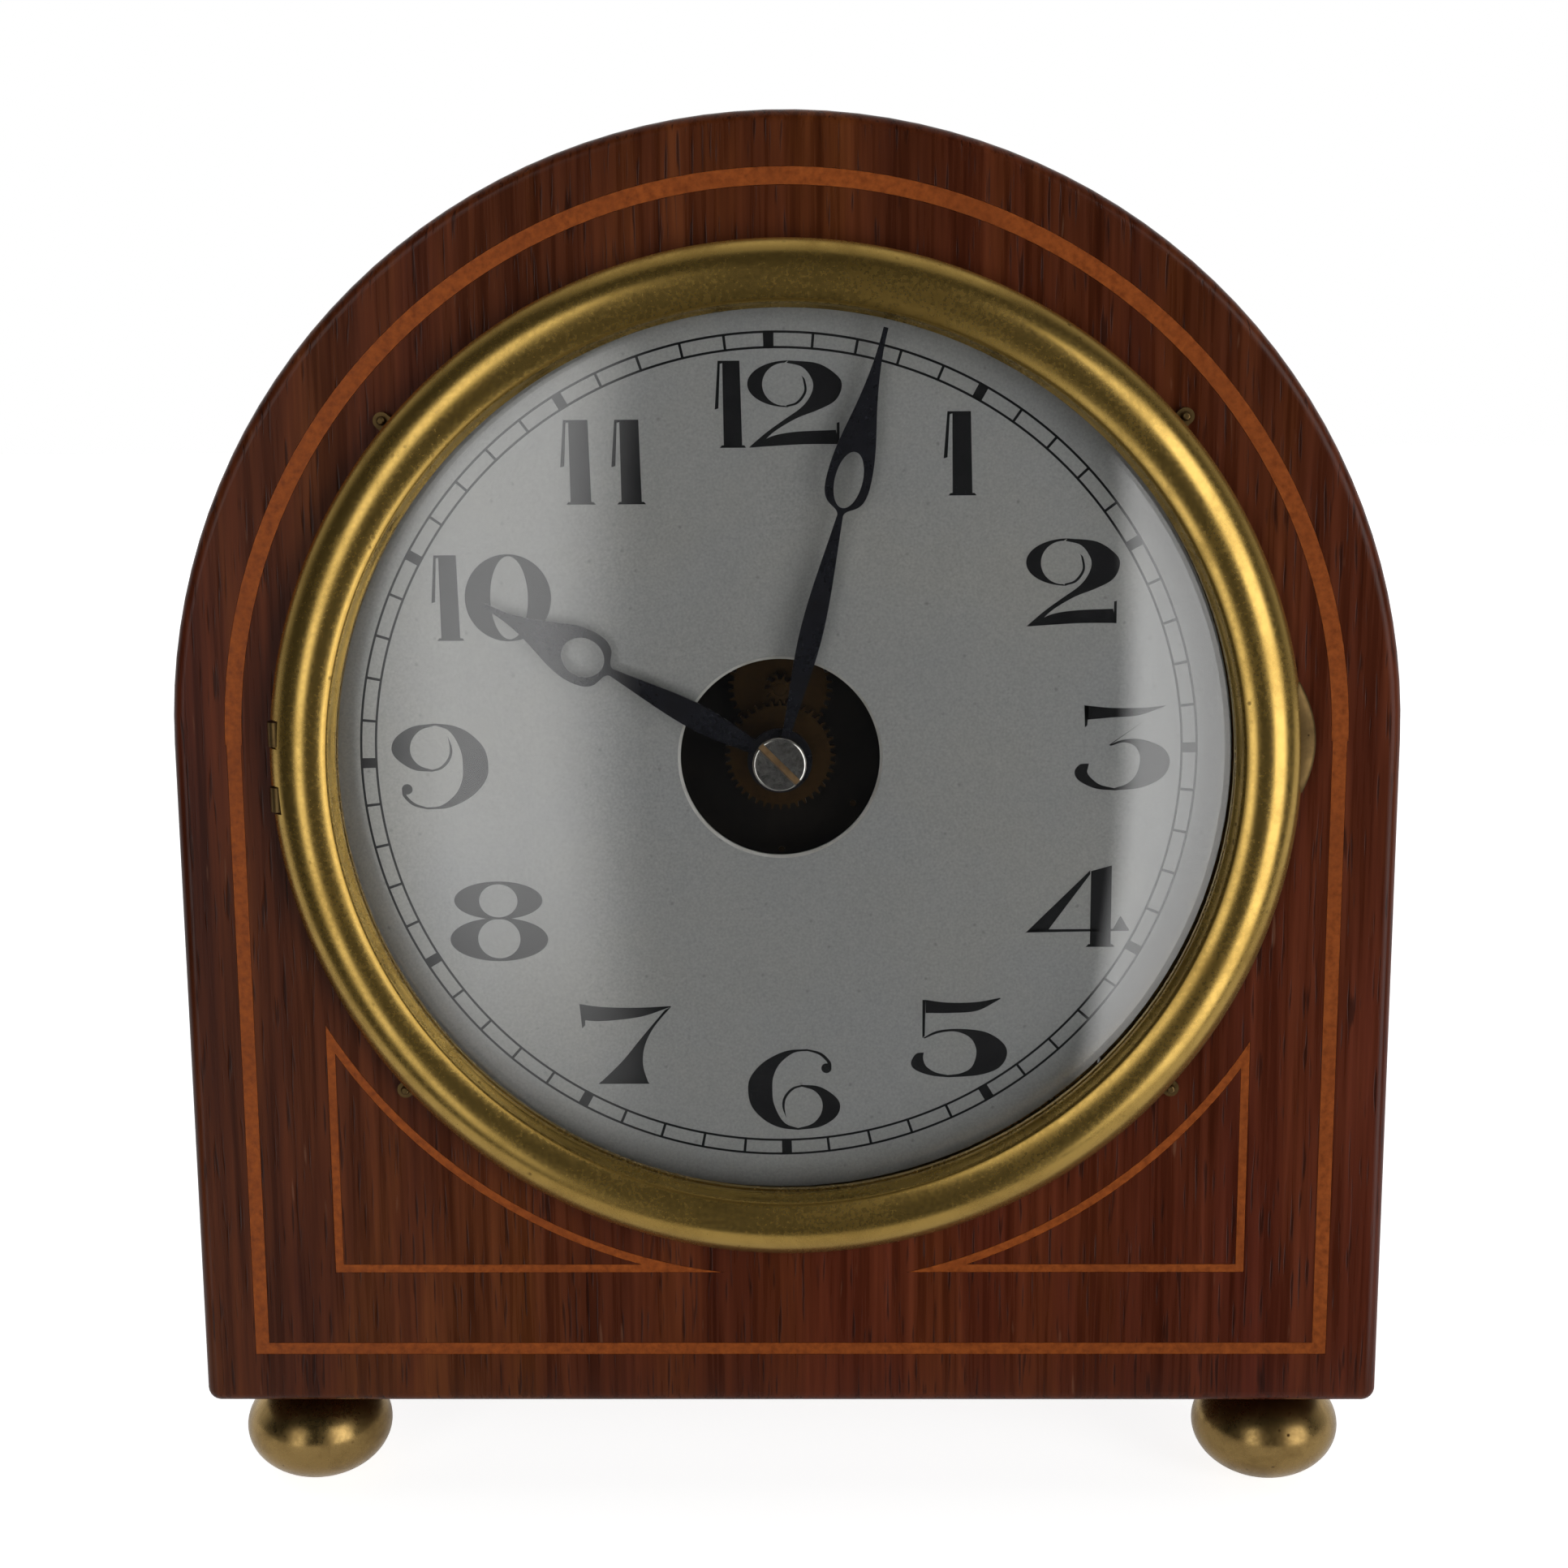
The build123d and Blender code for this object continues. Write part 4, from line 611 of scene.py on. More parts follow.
@dataclass(frozen=True)
class BoardFinish:
    """Plain non-metal stock, such as fibre, paper or ink: two tones of mottle and a fine tooth."""
    name: str
    first: Colour
    second: Colour
    mottle: float = 60.0
    tooth: float = 1400.0
    gloss: float = 0.5
    shine: float = 0.3

    def material(self) -> Material:
        """Builds the finish from mottled noise and a fine bump.

        Returns:
            The material.
        """
        sheet = NodeSheet.for_finish(self.name)
        even = sheet.even()
        cloud = sheet.noise(even, self.mottle, 4.0, 0.6, 0.3)
        tooth = sheet.noise(even, self.tooth, 2.0, 0.5)
        colour = sheet.ramp(cloud, (0.35, self.first), (0.65, self.second))
        rough = sheet.span(tooth, 0.3, 0.7, self.gloss - 0.06, self.gloss + 0.08)
        return sheet.surface({"Base Color": colour, "Roughness": rough, "Specular IOR Level": self.shine,
                              "Normal": sheet.relief(tooth, 0.00003, 0.4)})


@dataclass(frozen=True)
class WoundFinish:
    """Fine thread or wire laid side by side: bands across the winding, with a painted highlight on the top
    of each turn and painted shade between turns.
    """
    name: str
    deep: Colour
    light: Colour
    pitch: float
    metal: float
    turn: Point3 = (0.0, 0.0, 0.0)

    def material(self) -> Material:
        """Builds the finish from a wave along one axis, broken up by a little noise; the wave paints
        highlight and shade across the turns.

        Returns:
            The material.
        """
        sheet = NodeSheet.for_finish(self.name)
        vector = sheet.even(self.turn)
        wave = sheet.add("ShaderNodeTexWave", {"Vector": vector, "Scale": self.pitch, "Distortion": 0.4,
                                               "Detail": 2.0, "Detail Scale": 1.5}).outputs["Fac"]
        grime = sheet.noise(vector, 140.0, 3.0)
        # Painted highlight on each turn's top and painted shade in the troughs between turns.
        colour = sheet.ramp(wave, (0.1, self.deep), (0.8, self.light))
        colour = sheet.blend(sheet.span(grime, 0.45, 0.7, 0.0, 0.5), colour, self.deep)
        rough = sheet.span(wave, 0.0, 1.0, 0.62, 0.38)
        return sheet.surface({"Base Color": colour, "Roughness": rough, "Metallic": self.metal,
                              "Normal": sheet.relief(wave, 0.00015, 0.7)})


@dataclass
class Finishes:
    """Every finish of the clock, by its own name."""
    ready: dict[str, Material] = field(default_factory=dict)

    def mix(self) -> None:
        """Makes the material of each finish."""
        wood = {"dark": (0.050, 0.0104, 0.0040), "middle": (0.089, 0.0212, 0.0058),
                "light": (0.146, 0.0410, 0.0088), "red": (0.098, 0.0166, 0.0082)}
        recipes = [
            WoodFinish("case_wood_upright", Grain.UPRIGHT, **wood),
            WoodFinish("case_wood_bent", Grain.ROUND_THE_BEND, **wood),
            WoodFinish("case_wood_across", Grain.CROSSWISE, **wood, gloss=0.5),
            WoodFinish("door_wood_upright", Grain.UPRIGHT, **wood, gloss=0.42),
            InlayFinish("inlay_string", (0.355, 0.082, 0.010), (0.200, 0.042, 0.006)),
            MetalFinish("foot_brass", (0.34, 0.225, 0.082), (0.15, 0.090, 0.030), (0.04, 0.02, 0.006),
                        0.24, 0.40, 110.0, 420.0, 0.9),
            MetalFinish("bezel_patina", (0.46, 0.300, 0.078), (0.29, 0.178, 0.040), (0.05, 0.025, 0.006),
                        0.22, 0.33, 60.0, 330.0, 0.55, 0.92),
            # A darker copy of the bezel brass for the seat ring, its pins and the finger tab: painted shade.
            MetalFinish("painted_shade_brass", (0.150, 0.095, 0.036), (0.070, 0.043, 0.019), (0.03, 0.015, 0.006),
                        0.40, 0.55, 160.0, 700.0, 0.8),
            # Near-black for the front plate and mounting bars seen through the dial's hole: painted shade
            # inside the case.
            BoardFinish("painted_shade_plate", (0.0045, 0.0034, 0.0026), (0.009, 0.0065, 0.0045), 120.0, 900.0,
                        0.6, 0.1),
            # Near-black brass for the wheels, pinion and posts seen through the dial's hole: painted shade
            # inside the case.
            MetalFinish("painted_shade_wheels", (0.046, 0.026, 0.010), (0.022, 0.012, 0.005), (0.009, 0.005, 0.002),
                        0.40, 0.55, 150.0, 800.0, 0.5),
            MetalFinish("hinge_patina", (0.55, 0.37, 0.13), (0.25, 0.15, 0.045), (0.06, 0.03, 0.008),
                        0.30, 0.48, 120.0, 700.0, 0.8),
            MetalFinish("movement_bronze", (0.62, 0.43, 0.17), (0.38, 0.24, 0.09), (0.08, 0.045, 0.015),
                        0.28, 0.44, 110.0, 800.0, 0.5),
            MetalFinish("nut_polish", (0.60, 0.59, 0.57), (0.44, 0.40, 0.35), (0.22, 0.15, 0.10),
                        0.13, 0.22, 45.0, 300.0, 0.15),
            MetalFinish("bright_steel", (0.60, 0.59, 0.57), (0.36, 0.34, 0.31), (0.10, 0.07, 0.05),
                        0.22, 0.40, 90.0, 700.0, 0.5),
            MetalFinish("blued_steel", (0.020, 0.021, 0.028), (0.012, 0.011, 0.013), (0.05, 0.028, 0.02),
                        0.26, 0.38, 140.0, 900.0, 0.4, 0.8),
            MetalFinish("magnet_iron", (0.19, 0.18, 0.175), (0.10, 0.085, 0.075), (0.06, 0.03, 0.02),
                        0.40, 0.60, 90.0, 600.0, 0.8),
            SilveredFinish("dial_silvering", (0.425, 0.428, 0.422), (0.455, 0.447, 0.417),
                           (0.20, 0.20, 0.19)),
            # A lighter copy of the dial metal for the hole's bevel: painted highlight.
            MetalFinish("painted_highlight_bevel", (0.62, 0.61, 0.58), (0.40, 0.38, 0.33), (0.20, 0.16, 0.11),
                        0.34, 0.48, 200.0, 700.0, 0.4, 0.25),
            BoardFinish("slot_lacquer", (0.16, 0.090, 0.035), (0.27, 0.165, 0.070), 400.0, 1500.0, 0.45),
            GlassFinish("dome_clear"),
            BoardFinish("dial_ink", (0.006, 0.006, 0.007), (0.012, 0.012, 0.013), 90.0, 2200.0, 0.6, 0.12),
            BoardFinish("red_fibre", (0.085, 0.030, 0.016), (0.120, 0.044, 0.022), 160.0, 1500.0, 0.45),
            BoardFinish("cell_paper", (0.105, 0.085, 0.055), (0.150, 0.120, 0.080), 45.0, 1200.0, 0.62),
            # The light tone of each turn is a painted highlight, the deep tone painted shade.
            WoundFinish("coil_copper", (0.16, 0.050, 0.016), (0.55, 0.22, 0.085), 260.0, 0.9,
                        (0.0, radians(COIL_TILT), 0.0)),
            WoundFinish("lead_braid", (0.055, 0.030, 0.014), (0.20, 0.115, 0.050), 420.0, 0.0,
                        (radians(35.0), radians(45.0), 0.0)),
        ]
        self.ready = {recipe.name: recipe.material() for recipe in recipes}

    def wear(self, piece: Piece, finish: str) -> None:
        """Puts a finish on a piece, in its only slot.

        Args:
            piece: The piece.
            finish: The finish that it wears.
        """
        if not piece.material_slots:
            piece.data.materials.append(self.ready[finish])
        for slot in piece.material_slots:
            slot.material = self.ready[finish]

    def fit(self, piece: Piece, finish: str, body: str, slot: str = "", node: str = "") -> Piece:
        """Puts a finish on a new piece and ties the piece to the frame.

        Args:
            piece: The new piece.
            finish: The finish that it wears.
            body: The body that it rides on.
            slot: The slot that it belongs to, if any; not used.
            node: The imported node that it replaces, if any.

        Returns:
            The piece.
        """
        self.wear(piece, finish)
        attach(piece, body)
        if node:
            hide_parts(node)
        return piece


SLOT_FINISH = {
    "case_wood": "case_wood_upright", "door_wood": "door_wood_upright", "inlay_wood": "inlay_string",
    "cast_brass": "foot_brass", "bezel_brass": "bezel_patina", "hinge_brass": "hinge_patina",
    "steel": "bright_steel", "dial_silver": "dial_silvering", "hand_blue": "blued_steel",
    "glass": "dome_clear", "movement_brass": "movement_bronze", "magnet_steel": "magnet_iron",
    "fibre": "red_fibre", "copper_wire": "coil_copper", "cell_jacket": "cell_paper",
    "lead_cloth": "lead_braid",
}


@dataclass
class CaseBand:
    """The bent sides and top of the case, as one strip of veneered wood carried round the arch."""
    places: Places
    finishes: Finishes
    thickness: float = 8.0
    front_depth: float = 9.0
    back_board: float = 6.0
    corner: float = 2.2
    edge: float = 0.12
    corner_stations: int = 9
    leg_stations: int = 40
    arch_stations: int = 181

    def build(self) -> list[Piece]:
        """Carries a flat section along leg, arch and leg, with its grain along the path.

        The path goes straight up, round a half circle and straight down. The section is a rectangle with
        eased edges, and its outer side draws in by a quarter circle at the two feet of the path.

        Returns:
            The band.
        """
        at = self.places
        leg = at.arch - at.bottom
        rise = np.concatenate([self.corner * (1 - np.cos(np.linspace(0, pi / 2, self.corner_stations))),
                               np.linspace(self.corner, leg, self.leg_stations)[1:]])
        turn = np.linspace(pi, 0, self.arch_stations)[1:-1]
        bend = at.half_width * (pi - turn)
        length = np.concatenate([rise, leg + bend, leg + at.half_width * pi + leg - rise[::-1]])
        out_x = np.concatenate([-np.ones_like(rise), np.cos(turn), np.ones_like(rise)])
        out_z = np.concatenate([np.zeros_like(rise), np.sin(turn), np.zeros_like(rise)])
        base_z = np.concatenate([at.bottom + rise, np.full_like(turn, at.arch), at.bottom + rise[::-1]])
        foot = np.clip(1 - np.minimum(length, length[-1] - length) / self.corner, 0, 1)
        draw_in = self.corner * (1 - np.sqrt(1 - foot**2))
        low, high = at.front + self.front_depth, at.back - self.back_board
        e, t = self.edge, self.thickness
        inward = np.array([0, 0, e, t - e, t, t, t - e, e])
        depth = np.array([low + e, high - e, high, high, high - e, low + e, low, low])
        outer = inward < t / 2
        reach = at.half_width - inward[None, :] - draw_in[:, None] * outer[None, :]
        points = np.stack([reach * out_x[:, None], np.broadcast_to(depth, reach.shape),
                           base_z[:, None] + reach * out_z[:, None]], axis=-1)
        rows, columns = reach.shape
        faces = grid_faces(rows, columns, wrap_columns=True).tolist()
        faces += [list(range(columns)), list(range((rows - 1) * columns, rows * columns))]
        band = make_piece("veneered_band", points.reshape(-1, 3), faces)
        self.lay_grain(band)
        return [self.finishes.fit(band, "case_wood_bent", "case", "case_wood", "arch_band")]

    def lay_grain(self, band: Piece) -> None:
        """Unrolls the band: one axis of its map is the way round the bend, the other its depth.

        Args:
            band: The finished band.
        """
        at, mesh = self.places, band.data
        x, y, z = mesh_points(mesh).T
        above = z - at.arch * MM
        radius = np.hypot(x, np.maximum(above, 0))
        angle = np.arctan2(np.maximum(above, 0), x)
        way = np.where(above > 0, (pi - angle) * at.half_width * MM,
                       np.where(x < 0, above, pi * at.half_width * MM - above))
        across = y + radius
        index = np.empty(len(mesh.loops), dtype=np.int32)
        mesh.loops.foreach_get("vertex_index", index)
        layer = mesh.uv_layers.new(name="grain")
        layer.data.foreach_set("uv", np.stack([way[index], across[index]], axis=1).ravel())


@dataclass
class Feet:
    """Four turned brass feet: flattened balls on short necks."""
    places: Places
    finishes: Finishes
    radius: float = 12.0
    middle: float = 8.1
    pad: float = 4.6
    neck: float = 5.0
    neck_ease: float = 0.4
    arc_points: int = 48
    stations: int = 96

    def build(self) -> list[Piece]:
        """Turns each foot: a flat pad, most of an ellipse up to the neck, and a collar under the case.

        Returns:
            The four feet.
        """
        half = self.middle / np.sqrt(1 - (self.pad / self.radius) ** 2)
        start = -np.arccos(self.pad / self.radius)
        stop = np.arccos(self.neck / self.radius)
        turn = np.linspace(start, stop, self.arc_points)
        ball = np.stack([self.radius * np.cos(turn), self.middle + half * np.sin(turn)], axis=1)
        top = self.places.bottom
        neck = np.array([[self.neck, ball[-1, 1] + self.neck_ease], [self.neck, top], [0.0, top]])
        profile = np.concatenate([[[0.0, 0.0]], ball, neck])
        feet = []
        for row in ("front", "back"):
            for side in ("left", "right"):
                node = f"foot_{row}_{side}"
                x, y, _ = middle_of(node)
                origin = (x, y, 0.0)
                foot = lathe(f"ball_{node}", profile, self.stations, Axis.UP, origin)
                feet.append(self.finishes.fit(foot, "foot_brass", "case", "cast_brass", node))
        return feet


@dataclass
class Bezel:
    """The hinged bezel: a half-round brass roll with a bead and lip, its finger tab and the domed glass."""
    places: Places
    finishes: Finishes
    outer: float = 79.2
    width: float = 10.2
    height: float = 6.4
    back: float = 1.4
    lip: float = 0.9
    skirt_inner: float = 70.0
    skirt_outer: float = 70.6
    skirt_reach: float = 0.6
    knuckle_start: float = 2.9
    knuckle_end: float = 7.3
    hinge_inset: float = 1.2
    notch_inner: float = 76.3
    notch_height: float = 4.7
    notch_clear_turn: float = 0.002
    roof_climb: float = 0.6
    wall_climb: float = 0.3
    tab_half: float = 9.0
    tab_proud: float = 2.0
    tab_rise: float = 3.9
    tab_thickness: float = 1.2
    tab_root: float = 1.0
    tab_share: float = 0.5
    tab_taper: float = 3.0
    tab_stations: int = 41
    tab_points: int = 24
    glass_radius: float = 69.9
    glass_rise: float = 9.0
    glass_thickness: float = 1.8
    glass_points: int = 40
    glass_stations: int = 160
    roll_side_shares: Point2 = (0.0045, 0.508)
    roll_crest_shares: Point2 = (0.578, 1.0)
    groove_shares: Point2 = (0.882, 0.8875)
    bead_top_shares: Point2 = (0.908, 0.845)
    bead_end_shares: Point2 = (0.928, 0.76)
    lip_share: float = 0.60
    lip_edge: float = 0.15
    lip_edge_shares: Point2 = (0.606, 0.58)
    under_share: float = 0.14
    # Darkening of the ring: tarnish and painted shade within groove_shade of the groove, and painted shade
    # on faces below shade_top, full over shade_fall.
    groove_shade: float = 0.55
    shade_top: float = 2.6
    shade_fall: float = 1.6
    roll_points: int = 64
    bead_points: int = 10
    stations: int = 480
    notch_stations: int = 8
    sharp: float = 50.0

    def at_share(self, shares: Point2) -> Point2:
        """Gives a point of the section by shares of its width from the outer edge and of its height."""
        return (self.outer - self.width * shares[0], self.height * shares[1])

    def section(self) -> tuple[np.ndarray, np.ndarray]:
        """Draws the bezel's section: the roll's arc, the bead's arc, the lip and the skirt.

        Returns:
            Radius and height of each point, and from 0 to 1 how far each point is darkened: tarnish and
            painted shade near the groove, painted shade on faces low down by the case.
        """
        side, crest, groove, bead_top, bead_end = map(self.at_share, (
            self.roll_side_shares, self.roll_crest_shares, self.groove_shares, self.bead_top_shares,
            self.bead_end_shares))
        roll = arc_through(side, crest, groove, self.roll_points)
        bead = arc_through(groove, bead_top, bead_end, self.bead_points)[1:]
        inner, under_lip = self.outer - self.width, self.height * self.lip_share - self.lip
        high_edge, low_edge = (self.height * share for share in self.lip_edge_shares)
        rest = np.array([[inner + self.lip_edge, high_edge], [inner, low_edge], [inner, under_lip],
                         [self.skirt_inner, under_lip], [self.skirt_inner, -self.skirt_reach],
                         [self.skirt_outer, -self.skirt_reach], [self.skirt_outer, self.back],
                         [self.outer - self.width * self.under_share, self.back]])
        points = np.concatenate([roll, bead, rest])
        # Darkening: tarnish and painted shade near the groove, plus painted shade growing on faces lower
        # than shade_top.
        near = np.hypot(*(points - np.array(groove)).T)
        low = np.clip((self.shade_top - points[:, 1]) / self.shade_fall, 0, 1)
        return points, np.clip(np.clip(1 - near / self.groove_shade, 0, 1) + low, 0, 1)

    def notched(self, section: np.ndarray) -> np.ndarray:
        """Moves the section's points out of the notch that a hinge knuckle turns in.

        A point inside the notch goes to the notch's inner wall if it lies low, and to its roof if not.

        Args:
            section: Radius and height of each point.

        Returns:
            The section at a knuckle.
        """
        radius, height = section.T
        inside = (radius > self.notch_inner) & (height < self.notch_height)
        roof_end = radius[height > self.notch_height].max()
        climb = np.clip((height - self.back) / (self.notch_height - self.back), 0, 1)
        cut_radius = np.where(inside, np.where(climb > self.roof_climb, roof_end, self.notch_inner), radius)
        cut_height = np.where(inside & (climb > self.wall_climb), self.notch_height, height)
        return np.stack([cut_radius, cut_height], axis=1)

    def ring(self) -> Piece:
        """Carries the section round the glass, with two notches for the hinge at nine o'clock.

        Returns:
            The bezel ring.
        """
        section, groove_tarnish_and_shade = self.section()
        reach = self.outer - self.hinge_inset
        edges = np.arcsin(np.array([self.knuckle_start, self.knuckle_end]) / reach)
        turn = np.linspace(0, 2 * pi, self.stations, endpoint=False)
        cut = np.zeros(len(turn), dtype=bool)
        for low, high in ((pi + edges[0], pi + edges[1]), (pi - edges[1], pi - edges[0])):
            keep = (turn < low - self.notch_clear_turn) | (turn > high + self.notch_clear_turn)
            steps = np.linspace(low, high, self.notch_stations)
            turn = np.concatenate([turn[keep], [low], steps, [high]])
            cut = np.concatenate([cut[keep], [False], np.ones(self.notch_stations, dtype=bool), [False]])
            order = np.lexsort((self.wall_order(turn, cut, low, high), turn))
            turn, cut = turn[order], cut[order]
        profile = np.where(cut[:, None, None], self.notched(section)[None], section[None])
        radius, height = profile[..., 0], profile[..., 1]
        at = self.places
        points = np.stack([radius * np.cos(turn)[:, None], at.front - height,
                           at.bezel + radius * np.sin(turn)[:, None]], axis=-1)
        faces = grid_faces(len(turn), len(section), True, True).tolist()
        ring = make_piece("bezel_ring", points.reshape(-1, 3), faces, sharp=self.sharp)
        # Stores the darkening: tarnish and painted shade near the groove, painted shade low down.
        self.mark_tarnish_and_shade(ring, section, groove_tarnish_and_shade)
        return ring

    @staticmethod
    def wall_order(turn: np.ndarray, cut: np.ndarray, low: float, high: float) -> np.ndarray:
        """Orders the two stations at each end of a notch, so that its walls stand between them."""
        at_high = np.where(np.isclose(turn, high), ~cut, False)
        return np.where(np.isclose(turn, low), cut, at_high).astype(int)

    def mark_tarnish_and_shade(self, ring: Piece, section: np.ndarray, groove_tarnish_and_shade: np.ndarray) -> None:
        """Stores on the mesh how far each point is darkened, taken from the nearest point of the section.

        Args:
            ring: The bezel ring.
            section: Radius and height of the section's points.
            groove_tarnish_and_shade: The value of each of them, tarnish and painted shade near the groove
                and painted shade low down.
        """
        x, y, z = mesh_points(ring.data).T / MM
        here = np.stack([np.hypot(x, z - self.places.bezel), self.places.front - y], axis=1)
        nearest = np.argmin(((here[:, None, :] - section[None]) ** 2).sum(axis=2), axis=1)
        ring.data.attributes.new("groove_tarnish_and_shade", "FLOAT", "POINT").data.foreach_set("value", groove_tarnish_and_shade[nearest])

    def tab(self) -> Piece:
        """Makes the finger tab: a flat oval carried along a low arc, thinning to nothing at both ends.

        Returns:
            The tab.
        """
        at = self.places
        along = np.linspace(-1, 1, self.tab_stations)[:, None]
        round_it = np.linspace(0, 2 * pi, self.tab_points, endpoint=False)[None, :]
        fade = np.clip(1 - along**2, 0, 1)
        up = self.tab_rise + self.tab_half * along
        root = np.sqrt(self.outer**2 - up**2) - self.tab_root
        proud = (self.tab_root + self.tab_proud * fade) * (fade > 0)
        x = root + proud * np.cos(round_it)
        thick = self.tab_thickness / 2 * np.minimum(1, self.tab_taper * fade)
        y = at.front - self.height * self.tab_share - thick * np.sin(round_it)
        z = np.broadcast_to(at.bezel + up, x.shape)
        points = np.stack([x, y, z], axis=-1)
        faces = grid_faces(self.tab_stations, self.tab_points, wrap_columns=True).tolist()
        return make_piece("finger_tab", points.reshape(-1, 3), faces)

    def glass(self) -> Piece:
        """Turns the domed glass: two equal spherical caps a wall apart, joined by the ground edge.

        Returns:
            The glass.
        """
        at = self.places
        sphere = (self.glass_radius**2 + self.glass_rise**2) / (2 * self.glass_rise)
        apex = at.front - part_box("dome_glass")[0].y / MM
        radius = self.glass_radius * np.sin(np.linspace(0, pi / 2, self.glass_points))
        outside = apex - sphere + np.sqrt(sphere**2 - radius**2)
        profile = np.concatenate([np.stack([radius, outside], axis=1),
                                  np.stack([radius, outside - self.glass_thickness], axis=1)[::-1]])
        origin = (0.0, at.front, at.bezel)
        return lathe("domed_glass", profile, self.glass_stations, Axis.FORWARD, origin)

    def build(self) -> list[Piece]:
        """Makes and dresses the ring, the tab and the glass.

        Returns:
            The three pieces.
        """
        return [self.finishes.fit(self.ring(), "bezel_patina", "bezel", "bezel_brass", "bezel"),
                # The tab wears the darker brass, which paints shade on it.
                self.finishes.fit(self.tab(), "painted_shade_brass", "bezel", "bezel_brass"),
                self.finishes.fit(self.glass(), "dome_clear", "bezel", "glass", "dome_glass")]


@dataclass(frozen=True)
class Oval:
    """Part of an ellipse, by its centre, its two radii and the angles where it starts and ends."""
    x: float
    y: float
    across: float
    up: float
    start: float
    end: float

    def points(self, count: int) -> np.ndarray:
        """Samples the ellipse evenly in angle: the centre plus each radius times cosine or sine."""
        turn = np.radians(np.linspace(self.start, self.end, count))
        return np.stack([self.x + self.across * np.cos(turn), self.y - self.up * np.sin(turn)], axis=1)


@dataclass(frozen=True)
class Run:
    """A line through points, straight between two of them and a smooth curve through more."""
    through: tuple[Point2, ...]

    def points(self, count: int) -> np.ndarray:
        """Samples the line: a cubic between neighbours, whose slope at a point joins those beside it.

        Args:
            count: How many points to give.

        Returns:
            Points along the line, two to a row.
        """
        way = np.array(self.through, float)
        padded = np.concatenate([2 * way[:1] - way[1:2], way, 2 * way[-1:] - way[-2:-1]])
        along = np.linspace(0, len(way) - 1, count)
        start = np.minimum(along.astype(int), len(way) - 2)
        u = (along - start)[:, None]
        p0, p1, p2, p3 = (padded[start + step] for step in range(4))
        return 0.5 * (2 * p1 + (p2 - p0) * u + (2 * p0 - 5 * p1 + 4 * p2 - p3) * u**2
                      + (3 * p1 - p0 - 3 * p2 + p3) * u**3)


Stroke = tuple[Oval | Run, Oval | Run]


def run(*through: Point2) -> Run:
    """Makes a line through points."""
    return Run(through)


@dataclass(frozen=True)
class Digit:
    """A fat-faced figure: strokes that each fill the space between two lines, in a box of drawing units."""
    box: tuple[float, float, float, float]
    strokes: tuple[Stroke, ...]
    upside_down: bool = False


SIX_STROKES: tuple[Stroke, ...] = (
    (run((185, 22), (130, 27), (75, 55), (40, 95), (33, 132), (42, 175), (75, 212), (115, 232), (160, 238)),
     run((185, 27), (150, 32), (115, 60), (98, 95), (95, 130), (98, 165), (112, 200), (130, 222),
         (160, 233))),
    (run((185, 22), (220, 32), (243, 55), (246, 72)), run((185, 27), (214, 37), (234, 56), (236, 68))),
    (Oval(233, 73, 13, 13, 0, 360), Oval(233, 73, 0.2, 0.2, 0, 360)),
    (run((170, 117), (215, 122), (255, 148), (268, 175), (255, 205), (215, 230), (160, 238)),
     run((170, 122), (200, 132), (218, 152), (223, 175), (216, 200), (195, 222), (160, 233))),
    (run((170, 117), (145, 125), (125, 148), (120, 175), (130, 206)),
     run((170, 122), (149, 130), (131, 151), (126, 175), (130, 206))),
)
